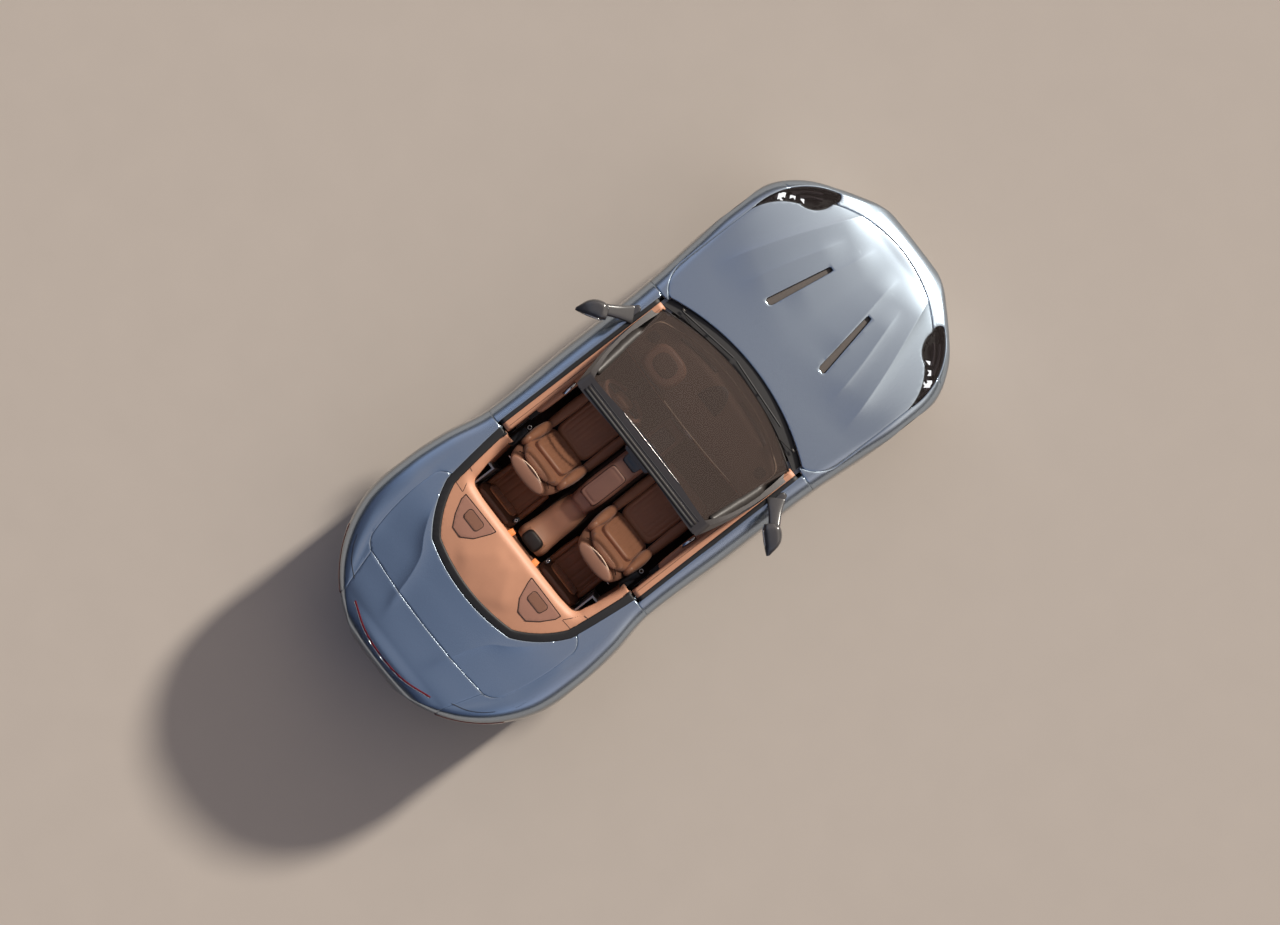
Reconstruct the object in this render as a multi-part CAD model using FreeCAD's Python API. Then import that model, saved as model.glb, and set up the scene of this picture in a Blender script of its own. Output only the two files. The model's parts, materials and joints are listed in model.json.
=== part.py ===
# A front-engined two-plus-two roadster convertible with its soft top stowed under the tonneau.
# Full size, in millimetres. +Z is up, the nose points along -Y and the car's left side is +X.
# The origin is on the ground, in the middle of the car's length and width.
import FreeCAD, Part
import math
import os

# Overall layout
LENGTH = 4725.0
WHEELBASE = 2805.0
FRONT_OVERHANG = 870.0
NOSE = -LENGTH / 2
TAIL = LENGTH / 2
FRONT_AXLE = NOSE + FRONT_OVERHANG
REAR_AXLE = FRONT_AXLE + WHEELBASE

# Skins, gaps and seats
SKIN = 14.0
SHUT_GAP = 9.0
FIT = 0.4
RUNNING = 0.05

# Panel breaks along the body
NOSE_BREAK = NOSE + 480
DOOR_FRONT = FRONT_AXLE + 750
DOOR_REAR = REAR_AXLE - 644
BUMPER_BREAK = REAR_AXLE + 400
SILL_TOP = 250.0
TAIL_BREAK = 696.0
DOOR_INNER = 752.0
DOOR_PANEL = 716.0
ARMREST = 664.0

# Doors, bonnet and boot lid
DOOR_HINGE_BACK = 60.0
DOOR_HINGE_DEEP = 16.0
DOOR_HINGE_TILT = 3.0
DOOR_HINGE_HEIGHTS = (400.0, 640.0)
DOOR_TAPER = 26.0
BONNET_HINGE = (NOSE + 50, 594.0)
BONNET_HINGE_X = 230.0
BONNET_LEAN = 1.6
BONNET_NOSE_Z = 700.0
LAMP_FRONT_Z = 735.0
BOOT_HINGE = (TAIL - 567, 875.0)
BOOT_HINGE_X = 432.0
HINGE_PIN = 6.0

# Running gear
TYRE_RADIUS = 363.0
RIM_SEAT = 266.7
ARCH_RADIUS = 398.0
FRONT_TYRE_WIDTH = 275.0
REAR_TYRE_WIDTH = 325.0
FRONT_WHEEL_X = 818.0
REAR_WHEEL_X = 808.0
KINGPIN_X = 778.0
FRONT_DISC_X = KINGPIN_X + 40
REAR_UPRIGHT_X = 690.0
REAR_DISC_X = REAR_UPRIGHT_X + 50
SPINDLE_LENGTH = 128.0
KINGPIN_REACH = 140.0
WISHBONE_SPREAD = 120.0
SPINDLE = 28.0
DISC_RADIUS = 200.0
DISC_WIDTH = 32.0
SPOKES = 10

# Cabin
SEAT_X = 370.0
WHEEL_CENTRE = (372.0, -95.0, 742.0)
COLUMN_TILT = 25.0
STEERING_WHEEL_RADIUS = 183.0
FLOOR_Z = 145.0
FLOOR_THICK = 18.0
TUNNEL_HALF = 118.0
TUNNEL_TOP = 420.0
FIREWALL = FRONT_AXLE + 790
REAR_BULKHEAD = REAR_AXLE - 240
RAIL_IN = 390.0
RAIL_OUT = 460.0
REAR_RAIL_IN = 500.0
REAR_RAIL_OUT = 560.0
WHEELHOUSE = (REAR_AXLE - 428, REAR_AXLE + 412)
PIPE_X = 62.0
PIPE_RADIUS = 28.0
TUB_BOTTOM = 400.0
TUB_END = TAIL - 258
LENS_DEPTH = 24.0

# Soft forms, drawn as pads. Columns: height, half width, half depth, centre along the car, corner radius.
SEAT_FOOT = FLOOR_Z + FLOOR_THICK + 0.5
SEAT_CUSHION = (
    (SEAT_FOOT, 190, 215, 195, 50),
    (250, 205, 238, 188, 55),
    (335, 222, 262, 172, 62),
    (388, 205, 245, 172, 76),
)
SEAT_BACK = (
    (330, 205, 55, 446, 45),
    (520, 215, 58, 520, 50),
    (740, 205, 52, 606, 46),
    (850, 155, 46, 650, 42),
    (905, 118, 44, 670, 40),
    (965, 128, 42, 692, 38),
    (1000, 92, 28, 704, 26),
)
BACK_BOLSTER_X = 198
BACK_BOLSTER = (
    (400, 30, 44, 430, 28),
    (520, 40, 66, 464, 38),
    (680, 38, 62, 530, 36),
    (795, 22, 34, 596, 20),
)
REAR_SEAT_X = 340
REAR_CUSHION = (
    (SEAT_FOOT, 195, 160, 900, 30),
    (330, 200, 168, 898, 40),
    (388, 184, 156, 900, 60),
    (410, 148, 122, 904, 60),
)
REAR_BACK = (
    (320, 195, 40, 1028, 30),
    (560, 193, 42, 1027, 36),
    (740, 182, 34, 1034, 30),
    (800, 138, 20, 1046, 18),
)
BINNACLE_X = 382
BINNACLE = (
    (800, 150, 118, -450, 70),
    (868, 157, 132, -452, 80),
    (905, 136, 108, -455, 80),
    (918, 90, 70, -458, 60),
)
CONSOLE_CAP = (
    (540, 76, 54, 995, 48),
    (640, 80, 58, 995, 52),
    (668, 58, 42, 995, 38),
)

# Forms that run along the car. Columns: where the section is, half width, half height, centre's height,
# corner radius.
CUSHION_BOLSTER_X = 200
CUSHION_BOLSTER = (
    (-60, 22, 18, 372, 16),
    (40, 36, 40, 384, 30),
    (250, 42, 56, 394, 38),
    (405, 40, 60, 402, 36),
)

# The console over the tunnel. Columns: where the section is, half width, height of its top, corner radius.
CONSOLE = (
    (FIREWALL + 420, 98, 610, 30),
    (-180, 98, 642, 30),
    (0, 96, 624, 30),
    (190, 96, 642, 30),
    (420, 97, 650, 30),
    (600, 92, 626, 34),
    (700, 110, 566, 48),
    (860, 117, 552, 55),
    (1040, 116, 566, 50),
)

# The dashboard. Columns: distance from the centre line, height of its top, how far back it reaches.
DASH = (
    (-684, 840, -336),
    (-520, 853, -314),
    (-250, 864, -297),
    (0, 867, -290),
    (250, 864, -297),
    (520, 853, -314),
    (684, 840, -336),
)

# The door mirror's head, along its own length. Columns: distance, half height, half depth, corner radius.
MIRROR_TURN = 31.0
MIRROR_HEAD = (
    (0, 34, 34, 24),
    (45, 60, 62, 44),
    (105, 60, 62, 44),
    (155, 44, 46, 34),
    (184, 14, 18, 12),
)

# The outer form, one row for each cross-section from the nose to the tail. Columns: where the section
# is, then half width and height of the sill, of the widest line, of the side's upper end and of the
# shoulder, and the height of the crown on the centre line.
BODY_SECTIONS = (
    (NOSE, 240, 330, 300, 430, 292, 520, 250, 575, 592),
    (NOSE + 35, 330, 215, 390, 420, 375, 560, 320, 625, 648),
    (NOSE + 100, 430, 150, 495, 420, 478, 590, 415, 665, 692),
    (NOSE + 200, 560, 130, 650, 420, 628, 620, 560, 700, 724),
    (NOSE + 330, 700, 125, 815, 430, 790, 650, 710, 735, 756),
    (NOSE + 520, 820, 125, 945, 450, 918, 680, 820, 775, 792),
    (FRONT_AXLE, 850, 130, 980, 480, 955, 730, 850, 832, 846),
    (FRONT_AXLE + 350, 830, 135, 958, 480, 930, 755, 835, 858, 890),
    (FRONT_AXLE + 750, 815, 140, 930, 470, 900, 775, 800, 885, 925),
    (FRONT_AXLE + 1490, 810, 140, 925, 470, 893, 780, 790, 900, 935),
    (REAR_AXLE - 640, 800, 140, 905, 480, 880, 800, 775, 915, 955),
    (REAR_AXLE - 300, 830, 145, 965, 540, 935, 820, 800, 925, 975),
    (REAR_AXLE, 850, 160, 990, 580, 960, 820, 790, 925, 985),
    (TAIL - 670, 820, 190, 962, 590, 928, 810, 740, 905, 955),
    (TAIL - 420, 740, 240, 850, 590, 815, 800, 640, 895, 930),
    (TAIL - 220, 600, 290, 672, 590, 640, 790, 520, 885, 912),
    (TAIL - 100, 430, 340, 490, 580, 468, 760, 380, 865, 895),
    (TAIL - 35, 300, 400, 330, 580, 318, 720, 270, 800, 830),
    (TAIL, 230, 470, 255, 580, 245, 660, 215, 710, 725),
)

LEFT = FreeCAD.Vector(1, 0, 0)
BACK = FreeCAD.Vector(0, 1, 0)
UP = FreeCAD.Vector(0, 0, 1)
ORIGIN = FreeCAD.Vector(0, 0, 0)


def vec(x, y, z):
    return FreeCAD.Vector(x, y, z)


def box(x0, x1, y0, y1, z0, z1):
    return Part.makeBox(x1 - x0, y1 - y0, z1 - z0, vec(x0, y0, z0))


def bar(start, end, radius):
    """A round bar from one point to another."""
    along = end.sub(start)
    return Part.makeCylinder(radius, along.Length, start, along)


def mirrored(shape):
    return shape.mirror(ORIGIN, LEFT)


def pair(shape):
    """The shape and its mirror image on the other side of the car, as separate solids."""
    return Part.makeCompound([shape, mirrored(shape)])


def fuse(shapes):
    return shapes[0].multiFuse(list(shapes[1:])).removeSplitter()


def save(name, shape):
    solids = Part.makeCompound(shape.Solids)
    solids.exportStep(os.path.join("parts", name + ".step"))


def tangent_arc(start, tangent, end):
    """The middle point of the arc that leaves start along tangent and reaches end, and its tangent there."""
    cx, cz = end[0] - start[0], end[1] - start[1]
    chord = math.hypot(cx, cz)
    along = (tangent[0] * cx + tangent[1] * cz) / chord
    turn = math.acos(max(-1.0, min(1.0, along)))
    nx, nz = -cz / chord, cx / chord
    if nx * tangent[0] + nz * tangent[1] < 0:
        nx, nz = -nx, -nz
    rise = chord / 2 * math.tan(turn / 2)
    middle = (start[0] + cx / 2 + nx * rise, start[1] + cz / 2 + nz * rise)
    leaving = (2 * along * cx / chord - tangent[0], 2 * along * cz / chord - tangent[1])
    return middle, leaving


def arc(start, middle, end):
    return Part.Arc(start, middle, end).toShape()


def line(start, end):
    return Part.LineSegment(start, end).toShape()


def body_section(row, inset):
    """One closed cross-section of the body, drawn inwards by inset."""
    y, sill_x, sill_z, wide_x, wide_z, side_x, side_z, shoulder_x, shoulder_z, crown_z = row
    y = y * (1 - inset / TAIL)
    sill = (sill_x - inset, sill_z + inset)
    wide = (wide_x - inset, wide_z)
    side = (side_x - inset, side_z - 0.3 * inset)
    shoulder = (shoulder_x - 0.5 * inset, shoulder_z - inset)
    lower, _ = tangent_arc(wide, (0, -1), sill)
    upper, leaving = tangent_arc(wide, (0, 1), side)
    roll, _ = tangent_arc(side, leaving, shoulder)
    right = [vec(p[0], y, p[1]) for p in (sill, lower, wide, upper, side, roll, shoulder)]
    left = [vec(-p.x, p.y, p.z) for p in right]
    crown = vec(0, y, crown_z - inset)
    edges = [line(left[0], right[0])]
    edges += [arc(right[i], right[i + 1], right[i + 2]) for i in (0, 2, 4)]
    edges.append(arc(right[6], crown, left[6]))
    edges += [arc(left[i], left[i - 1], left[i - 2]) for i in (6, 4, 2)]
    return Part.Wire(edges)


def body_form(inset):
    """The whole outer form as one smooth solid, drawn inwards by inset."""
    return Part.makeLoft([body_section(row, inset) for row in BODY_SECTIONS], True, False)


def path(points):
    """A closed plan outline. (x, y) is a straight run to that point, (mx, my, x, y) an arc through (mx, my)."""
    edges = []
    here = vec(points[0][-2], points[0][-1], 0)
    for p in list(points[1:]) + [points[0][-2:]]:
        there = vec(p[-2], p[-1], 0)
        if there.distanceToPoint(here) < 1e-6:
            continue
        if len(p) == 4:
            edges.append(arc(here, vec(p[0], p[1], 0), there))
        else:
            edges.append(line(here, there))
        here = there
    return Part.Wire(edges)


def bow(y, end):
    """The run from (0, y) to end as an arc that crosses the centre line squarely."""
    middle, _ = tangent_arc((0, y), (1, 0), end)
    return (middle[0], middle[1], end[0], end[1])


def bow_back(start, y):
    """The run from start to (0, y) as an arc that crosses the centre line squarely."""
    middle, _ = tangent_arc((0, y), (1, 0), start)
    return (middle[0], middle[1], 0, y)


def symmetric(half):
    """A closed outline from its left half, which starts and ends on the centre line."""
    points = list(half)
    for i in range(len(half) - 1, 0, -1):
        back = half[i - 1]
        if len(half[i]) == 4:
            points.append((-half[i][0], half[i][1], -back[-2], back[-1]))
        else:
            points.append((-back[-2], back[-1]))
    return path(points)


def prism(outline, low, high, grow=0.0):
    """The space over a plan outline between two heights, with the outline moved outwards by grow."""
    wire = outline.makeOffset2D(grow) if grow else outline
    face = Part.Face(wire)
    face.translate(vec(0, 0, low))
    return face.extrude(vec(0, 0, high - low))


# Plan outlines
COWL_CORNER = (735, DOOR_FRONT - 26)
CABIN_NOSE = FRONT_AXLE + 567.5
CABIN_TAIL = REAR_AXLE + 245.5
CABIN = symmetric((
    (0, CABIN_NOSE),
    bow(CABIN_NOSE, COWL_CORNER),
    (765, DOOR_FRONT + 217),
    (773, DOOR_FRONT + 760),
    (748, DOOR_REAR - 90, 682, REAR_AXLE - 150),
    (595, REAR_AXLE + 4, 420, REAR_AXLE + 182),
    bow_back((420, REAR_AXLE + 182), CABIN_TAIL),
))
SCREEN_SIDE = (868, FRONT_AXLE - 97)
LAMP_MIDDLE = (700, FRONT_AXLE - 377)
LAMP_FRONT = (555, FRONT_AXLE - 567)
BONNET_NOSE = NOSE + 124
BONNET = symmetric((
    (0, CABIN_NOSE),
    bow(CABIN_NOSE, COWL_CORNER),
    (820, DOOR_FRONT - 100, 866, DOOR_FRONT - 240),
    SCREEN_SIDE,
    (805, FRONT_AXLE - 265) + LAMP_MIDDLE,
    (590, FRONT_AXLE - 445) + LAMP_FRONT,
    bow_back(LAMP_FRONT, BONNET_NOSE - 60),
))
HEADLAMP = path((
    SCREEN_SIDE,
    (805, FRONT_AXLE - 265) + LAMP_MIDDLE,
    (590, FRONT_AXLE - 445) + LAMP_FRONT,
    (545, FRONT_AXLE - 620, 578, FRONT_AXLE - 655),
    (792, FRONT_AXLE - 455) + SCREEN_SIDE,
))
TONNEAU_CORNER = (612, TAIL - 494)
TONNEAU = symmetric((
    (0, REAR_AXLE - 194),
    (650, REAR_AXLE - 194),
    (740, REAR_AXLE - 150, 766, REAR_AXLE - 50),
    (758, REAR_AXLE + 190, 706, REAR_AXLE + 458),
    (672, REAR_AXLE + 520) + TONNEAU_CORNER,
    bow_back(TONNEAU_CORNER, TAIL - 466),
))
BOOT = symmetric((
    (0, TAIL - 466),
    bow(TAIL - 466, TONNEAU_CORNER),
    (524, TAIL - 200),
    (524, TAIL + 100),
    (0, TAIL + 100),
))


def side_box(y0, y1, z0, z1, x0=600.0):
    """A box that takes in one side of the body between two stations and two heights."""
    return box(x0, 1100, y0, y1, z0, z1)


def wheel_arches(radius, x0):
    """The two arch openings of one side, as cylinders across it."""
    arches = [Part.makeCylinder(radius, 1100 - x0, vec(x0, y, TYRE_RADIUS), LEFT) for y in (FRONT_AXLE, REAR_AXLE)]
    return Part.makeCompound(arches)


def bonnet_cut(grow):
    """The space the bonnet takes out of the body, with its front edge leaning back so that it can lift."""
    base = 620
    nose_y = BONNET_NOSE + BONNET_LEAN * (BONNET_NOSE_Z - base) - 1.2 * grow
    corner_y = LAMP_FRONT[1] + BONNET_LEAN * (LAMP_FRONT_Z - base) - 1.2 * grow
    outline = path(((900, 1000), (900, corner_y + 330), (LAMP_FRONT[0], corner_y), (0, nose_y, -LAMP_FRONT[0], corner_y),
                    (-900, corner_y + 330), (-900, 1000)))
    face = Part.Face(outline)
    face.translate(vec(0, 0, base))
    leaning = face.extrude(vec(0, -BONNET_LEAN * 480, 480))
    return prism(BONNET, base - 5, 1100, grow).common(leaning)


def hinge_x(z):
    """Where the door's hinge line is at a height: it leans inwards at the top, so the door rises as it opens."""
    skin_x = 918.0
    return skin_x - DOOR_HINGE_DEEP - (z - DOOR_HINGE_HEIGHTS[1]) * math.tan(math.radians(DOOR_HINGE_TILT))


def hinge_line(z0, z1, radius):
    y = DOOR_FRONT + SHUT_GAP + DOOR_HINGE_BACK
    return bar(vec(hinge_x(z0), y, z0), vec(hinge_x(z1), y, z1), radius)


def door(outer):
    """The left door as a block as thick as the whole door, with its inner panel and pockets for its hinges."""
    front = DOOR_FRONT + SHUT_GAP
    rear = DOOR_REAR - SHUT_GAP
    outline = path(((DOOR_INNER, front + 75), (DOOR_INNER + 48, front), (1100, front), (1100, rear + DOOR_TAPER),
                    (DOOR_INNER, rear - DOOR_TAPER * 0.2)))
    block = outer.common(prism(outline, SILL_TOP + SHUT_GAP, 1000))
    hinge_y = front + DOOR_HINGE_BACK
    for z in DOOR_HINGE_HEIGHTS:
        x = hinge_x(z)
        block = block.cut(box(DOOR_INNER - 5, x + 9.5, front - 5, hinge_y + 12, z - 14, z + 14))
        block = block.cut(hinge_line(z - 28, z + 28, HINGE_PIN - 1 + RUNNING))
    inner_rear = rear - 2 * DOOR_TAPER
    panel = box(DOOR_PANEL, DOOR_INNER + 5, front + 90, inner_rear, 290, 872)
    panel = panel.cut(box(DOOR_PANEL - 5, DOOR_INNER, front, front + 290, 835, 900))
    armrest = box(ARMREST, DOOR_INNER + 5, front + 450, inner_rear - 120, 560, 640)
    return fuse([block, panel, armrest])


def door_hinges():
    """The hinge arms on the front pillar, each with its pin, for the left door."""
    hinge_y = DOOR_FRONT + SHUT_GAP + DOOR_HINGE_BACK
    pieces = []
    for z in DOOR_HINGE_HEIGHTS:
        x = hinge_x(z)
        pieces.append(box(x - 126, x, hinge_y - 8, hinge_y + 8, z - 9, z + 9))
        pieces.append(box(x - 126, x - 100, DOOR_FRONT - 12, hinge_y + 8, z - 9, z + 9))
        pieces.append(hinge_line(z - 9, z + 9, 8))
        pieces.append(hinge_line(z - 27, z + 27, HINGE_PIN - 1))
    return pieces


def lofted_bar(sections):
    """A smooth bar through four-cornered sections, each a list of points."""
    wires = [Part.makePolygon([vec(*p) for p in s] + [vec(*s[0])]) for s in sections]
    return Part.makeLoft(wires, True, False)


def body_panels(outer, inner):
    """The fixed and opening skins of the body, by name."""
    shell = outer.cut(inner)
    cabin = prism(CABIN, 500, 1200)
    arches = wheel_arches(ARCH_RADIUS, 560)
    lamp = prism(HEADLAMP, 560, 900)
    bonnet_hole = bonnet_cut(0)
    half = FIT / 2

    bonnet = shell.common(bonnet_cut(-SHUT_GAP)).cut(cabin)
    bonnet = bonnet.cut(pair(vent_slot()))

    low_corner = box(-1100, 1100, NOSE_BREAK - 1, FRONT_AXLE, 0, TYRE_RADIUS).cut(box(-770, 770, -3000, 0, 0, 400))
    nose = shell.common(box(-1100, 1100, NOSE - 10, NOSE_BREAK - half, 0, 1000).fuse(low_corner))
    nose = nose.cut(bonnet_hole).cut(pair(lamp)).cut(grille_hole()).cut(pair(arches))

    fender = shell.common(side_box(NOSE_BREAK + half, DOOR_FRONT, 0, 1000))
    fender = fender.cut(bonnet_hole).cut(lamp).cut(arches).cut(cabin).cut(box(500, 770, -3000, 0, 0, 300))
    fender = fender.cut(box(500, 1200, NOSE_BREAK - 10, FRONT_AXLE, 0, TYRE_RADIUS))

    skirt = shell.common(side_box(DOOR_FRONT + FIT, DOOR_REAR - FIT, 0, SILL_TOP, 770))

    tonneau = shell.common(prism(TONNEAU, 700, 1100, -half)).cut(cabin)
    lid_hole = prism(BOOT, TAIL_BREAK, 1100)
    quarter = shell.common(side_box(DOOR_REAR, TAIL + 10, 0, 1000, 400))
    quarter = quarter.cut(box(390, 1200, BUMPER_BREAK, TAIL + 20, 0, TAIL_BREAK + half))
    quarter = quarter.cut(prism(TONNEAU, 700, 1100, half)).cut(lid_hole).cut(cabin).cut(arches)
    quarter = quarter.cut(box(390, 780, -3000, BUMPER_BREAK + 10, 0, 640)).cut(tail_lamp_hole())

    bumper = shell.common(box(-1100, 1100, BUMPER_BREAK + FIT, TAIL + 10, 0, TAIL_BREAK - half))
    bumper = bumper.cut(pair(arches)).cut(diffuser_hole())
    bumper = bumper.cut(box(-REAR_RAIL_OUT - 10, REAR_RAIL_OUT + 10, 1000, TAIL - 400, 0, 400))

    lid = shell.common(prism(BOOT, TAIL_BREAK + SHUT_GAP, 1100, -SHUT_GAP))
    return {
        "bonnet": bonnet,
        "front_bumper": nose,
        "fenders": pair(fender),
        "side_skirts": pair(skirt),
        "tonneau_cover": tonneau,
        "quarter_panels": pair(quarter),
        "rear_bumper": bumper,
        "boot_lid": lid,
    }


def vent_slot():
    """One of the two long slots in the bonnet."""
    outline = path((
        (268, FRONT_AXLE + 205),
        (292, FRONT_AXLE + 222, 316, FRONT_AXLE + 208),
        (225, FRONT_AXLE - 262),
        (211, FRONT_AXLE - 274, 197, FRONT_AXLE - 264),
    ))
    return prism(outline, 600, 1100)


def grille_hole():
    """The mouth in the nose."""
    points = ((-330, 270), (330, 270), (415, 330), (430, 450), (380, 545), (-380, 545), (-430, 450), (-415, 330))
    wire = Part.makePolygon([vec(x, NOSE - 50, z) for x, z in points + points[:1]])
    return Part.Face(wire).extrude(vec(0, 160, 0))


def tail_lamp_hole():
    """The slot in the rear corner that takes the left tail lamp."""
    return box(500, 1100, TAIL - 470, TAIL + 20, TAIL_BREAK + 40, TAIL_BREAK + 84)


def diffuser_hole():
    return box(-520, 520, TAIL - 420, TAIL + 20, 0, 430)


def headlamps(outer):
    """The lamp covers, flush with the skin."""
    lens = outer.cut(body_form(LENS_DEPTH)).common(prism(HEADLAMP, 600, 900, -FIT))
    return pair(lens)


def tail_lamps(outer, inner):
    slot = box(500 + FIT, 1100, TAIL - 470 + FIT, TAIL + 20, TAIL_BREAK + 40 + FIT, TAIL_BREAK + 84 - FIT)
    lens = outer.cut(inner).common(slot).cut(prism(BOOT, 600, 1100, SHUT_GAP))
    return pair(lens)


def grille():
    """Horizontal vanes in a frame that sits in the mouth."""
    y0 = NOSE + 45
    frame = []
    for z in range(285, 540, 32):
        reach = 318 if z < 300 else 395
        frame.append(box(-reach, reach, y0, y0 + 22, z, z + 7))
    for x in (-300, -100, 100, 300):
        frame.append(box(x - 5, x + 5, y0 + 12, y0 + 36, 272, 543))
    return fuse(frame)


def splitter():
    """The carbon lip below the nose."""
    outline = symmetric((
        (0, NOSE + 30),
        bow(NOSE + 30, (560, NOSE + 165)),
        (760, NOSE + 300, 830, NOSE + 470),
        (700, NOSE + 470),
        (560, NOSE + 330),
        (0, NOSE + 330),
    ))
    return prism(outline, 102, 124.2)


def diffuser():
    """The rear undertray with fins and four tail pipes."""
    y0, y1 = TAIL - 418, TAIL - 90
    floor = Part.makePolygon([vec(-518, y0, 190), vec(-518, y1, 330), vec(-518, y1 + 40, 418), vec(-518, y1 + 20, 418),
                              vec(-518, y1 - 20, 350), vec(-518, y0, 206), vec(-518, y0, 190)])
    tray = Part.Face(floor).extrude(vec(1036, 0, 0))
    fins = []
    for x in (-150, -50, 50, 150):
        fin = Part.makePolygon([vec(x - 4, y0 + 60, 200), vec(x - 4, y1 + 6, 230), vec(x - 4, y1 + 6, 335),
                                vec(x - 4, y0 + 60, 220), vec(x - 4, y0 + 60, 200)])
        fins.append(Part.Face(fin).extrude(vec(8, 0, 0)))
    tray = fuse([tray] + fins)
    for x in (-375, -270, 270, 375):
        tray = tray.cut(tail_pipe(x, 46))
    return tray


def tail_pipe(x, radius):
    """The run of one tail pipe, from the silencer to the diffuser."""
    return bar(vec(x, TAIL - 460, 290), vec(x, TAIL - 62, 343), radius)


def exhaust():
    """The silencer on its hangers, the two long pipes under the floor and four tail pipes."""
    silencer = box(-400, 400, TAIL - 640, TAIL - 440, 215, 330)
    pieces = [silencer]
    under = 192
    for side in (-1, 1):
        x = side * PIPE_X
        pieces.append(bar(vec(x, FRONT_AXLE + 500, under), vec(x, REAR_AXLE + 215, under), PIPE_RADIUS))
        pieces.append(bar(vec(x, REAR_AXLE + 205, under), vec(x, TAIL - 600, 262), PIPE_RADIUS))
        pieces.append(box(side * 210 - 12, side * 210 + 12, TAIL - 560, TAIL - 530, 325, TUB_BOTTOM - FIT))
        for pipe_x in (270, 375):
            pieces.append(tail_pipe(side * pipe_x, 40))
    body = fuse(pieces)
    for side in (-1, 1):
        for pipe_x in (270, 375):
            inside = bar(vec(side * pipe_x, TAIL - 200, 290 + 260 * 53 / 398), vec(side * pipe_x, TAIL - 40, 343 + 22 * 53 / 398), 36)
            body = body.cut(inside)
    return body


def front_frame():
    """Firewall with the pedals, front pillars, rails, cross member, crash beam and bonnet hinge brackets."""
    firewall = box(-DOOR_INNER + 60, DOOR_INNER - 60, FIREWALL, FIREWALL + 16, FLOOR_Z + FLOOR_THICK + FIT, 825)
    tunnel = box(-TUNNEL_HALF - FIT, TUNNEL_HALF + FIT, FIREWALL - 10, FIREWALL + 30, 0, TUNNEL_TOP + FIT)
    pieces = [
        firewall.cut(tunnel),
        box(-540, 540, NOSE + 165, NOSE + 215, 385, 490),
        box(-RAIL_IN - 20, RAIL_IN + 20, FRONT_AXLE - 70, FRONT_AXLE + 70, 200, 262),
    ]
    y, z = BONNET_HINGE
    bracket = ((-8, -10), (-8, 7), (13, 8), (165, -112), (165, -180), (115, -180))
    for side in (-1, 1):
        x0, x1 = sorted((side * RAIL_IN, side * RAIL_OUT))
        pieces.append(box(x0, x1, NOSE + 170, FIREWALL + 5, 390, 490))
        pieces.append(box(x0, x1, FRONT_AXLE - 190, FRONT_AXLE + 190, 200, 395))
        post0, post1 = sorted((side * 640, side * 800))
        pieces.append(box(post0, post1, DOOR_FRONT - 40, DOOR_FRONT, FLOOR_Z + FLOOR_THICK + FIT, 832))
        web0, web1 = sorted((side * 640, side * 745))
        pieces.append(box(web0, web1, DOOR_FRONT - 10, FIREWALL + 16, SILL_TOP + FIT, 825))
        foot0, foot1 = sorted((side * 685, side * 738))
        pieces.append(box(foot0, foot1, FIREWALL + 2, DOOR_FRONT + 88, SILL_TOP + FIT, 861.6))
        plate0, plate1 = sorted((side * (BONNET_HINGE_X - 20), side * (BONNET_HINGE_X - 10)))
        corners = [vec(plate0, y + p[0], z + p[1]) for p in bracket]
        pieces.append(Part.Face(Part.makePolygon(corners + corners[:1])).extrude(vec(plate1 - plate0, 0, 0)))
        ends = sorted((side * (BONNET_HINGE_X - 15), side * (BONNET_HINGE_X + 10)))
        pieces.append(bar(vec(ends[0], y, z), vec(ends[1], y, z), HINGE_PIN))
    return fuse(pieces + pedals() + door_hinges() + [mirrored(p) for p in door_hinges()])


def gooseneck(hinge, points, width, x):
    """A hinge strap that hangs from its pin and curves under the panel edge, in the plane across the car."""
    y, z = hinge
    shape = [vec(x - width / 2, y + p[0], z + p[1]) for p in points]
    strap = Part.Face(Part.makePolygon(shape + shape[:1])).extrude(vec(width, 0, 0))
    eye = Part.makeCylinder(14, width, vec(x - width / 2, y, z), LEFT)
    bore = Part.makeCylinder(HINGE_PIN + RUNNING, width + 20, vec(x - width / 2 - 10, y, z), LEFT)
    return strap.fuse(eye).cut(bore)


def bonnet_with_hinges(bonnet, inner):
    """The bonnet with the straps that hold it, each cut to meet its underside."""
    points = ((-10, -8), (52, -74), (158, -74), (246, -4), (246, 160), (214, 160), (214, 8), (148, -48), (66, -48), (10, 8))
    straps = []
    for side in (-1, 1):
        straps.append(gooseneck(BONNET_HINGE, points, 14, side * BONNET_HINGE_X).common(inner))
    return fuse([bonnet] + [s.Solids[0] for s in straps])


def boot_lid_with_hinges(lid, inner):
    points = ((-10, -6), (50, -124), (176, -118), (176, 120), (140, 120), (140, -96), (66, -98), (10, 4))
    straps = []
    for side in (-1, 1):
        straps.append(gooseneck(BOOT_HINGE, points, 14, side * BOOT_HINGE_X).common(inner))
    return fuse([lid] + [s.Solids[0] for s in straps])


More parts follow.
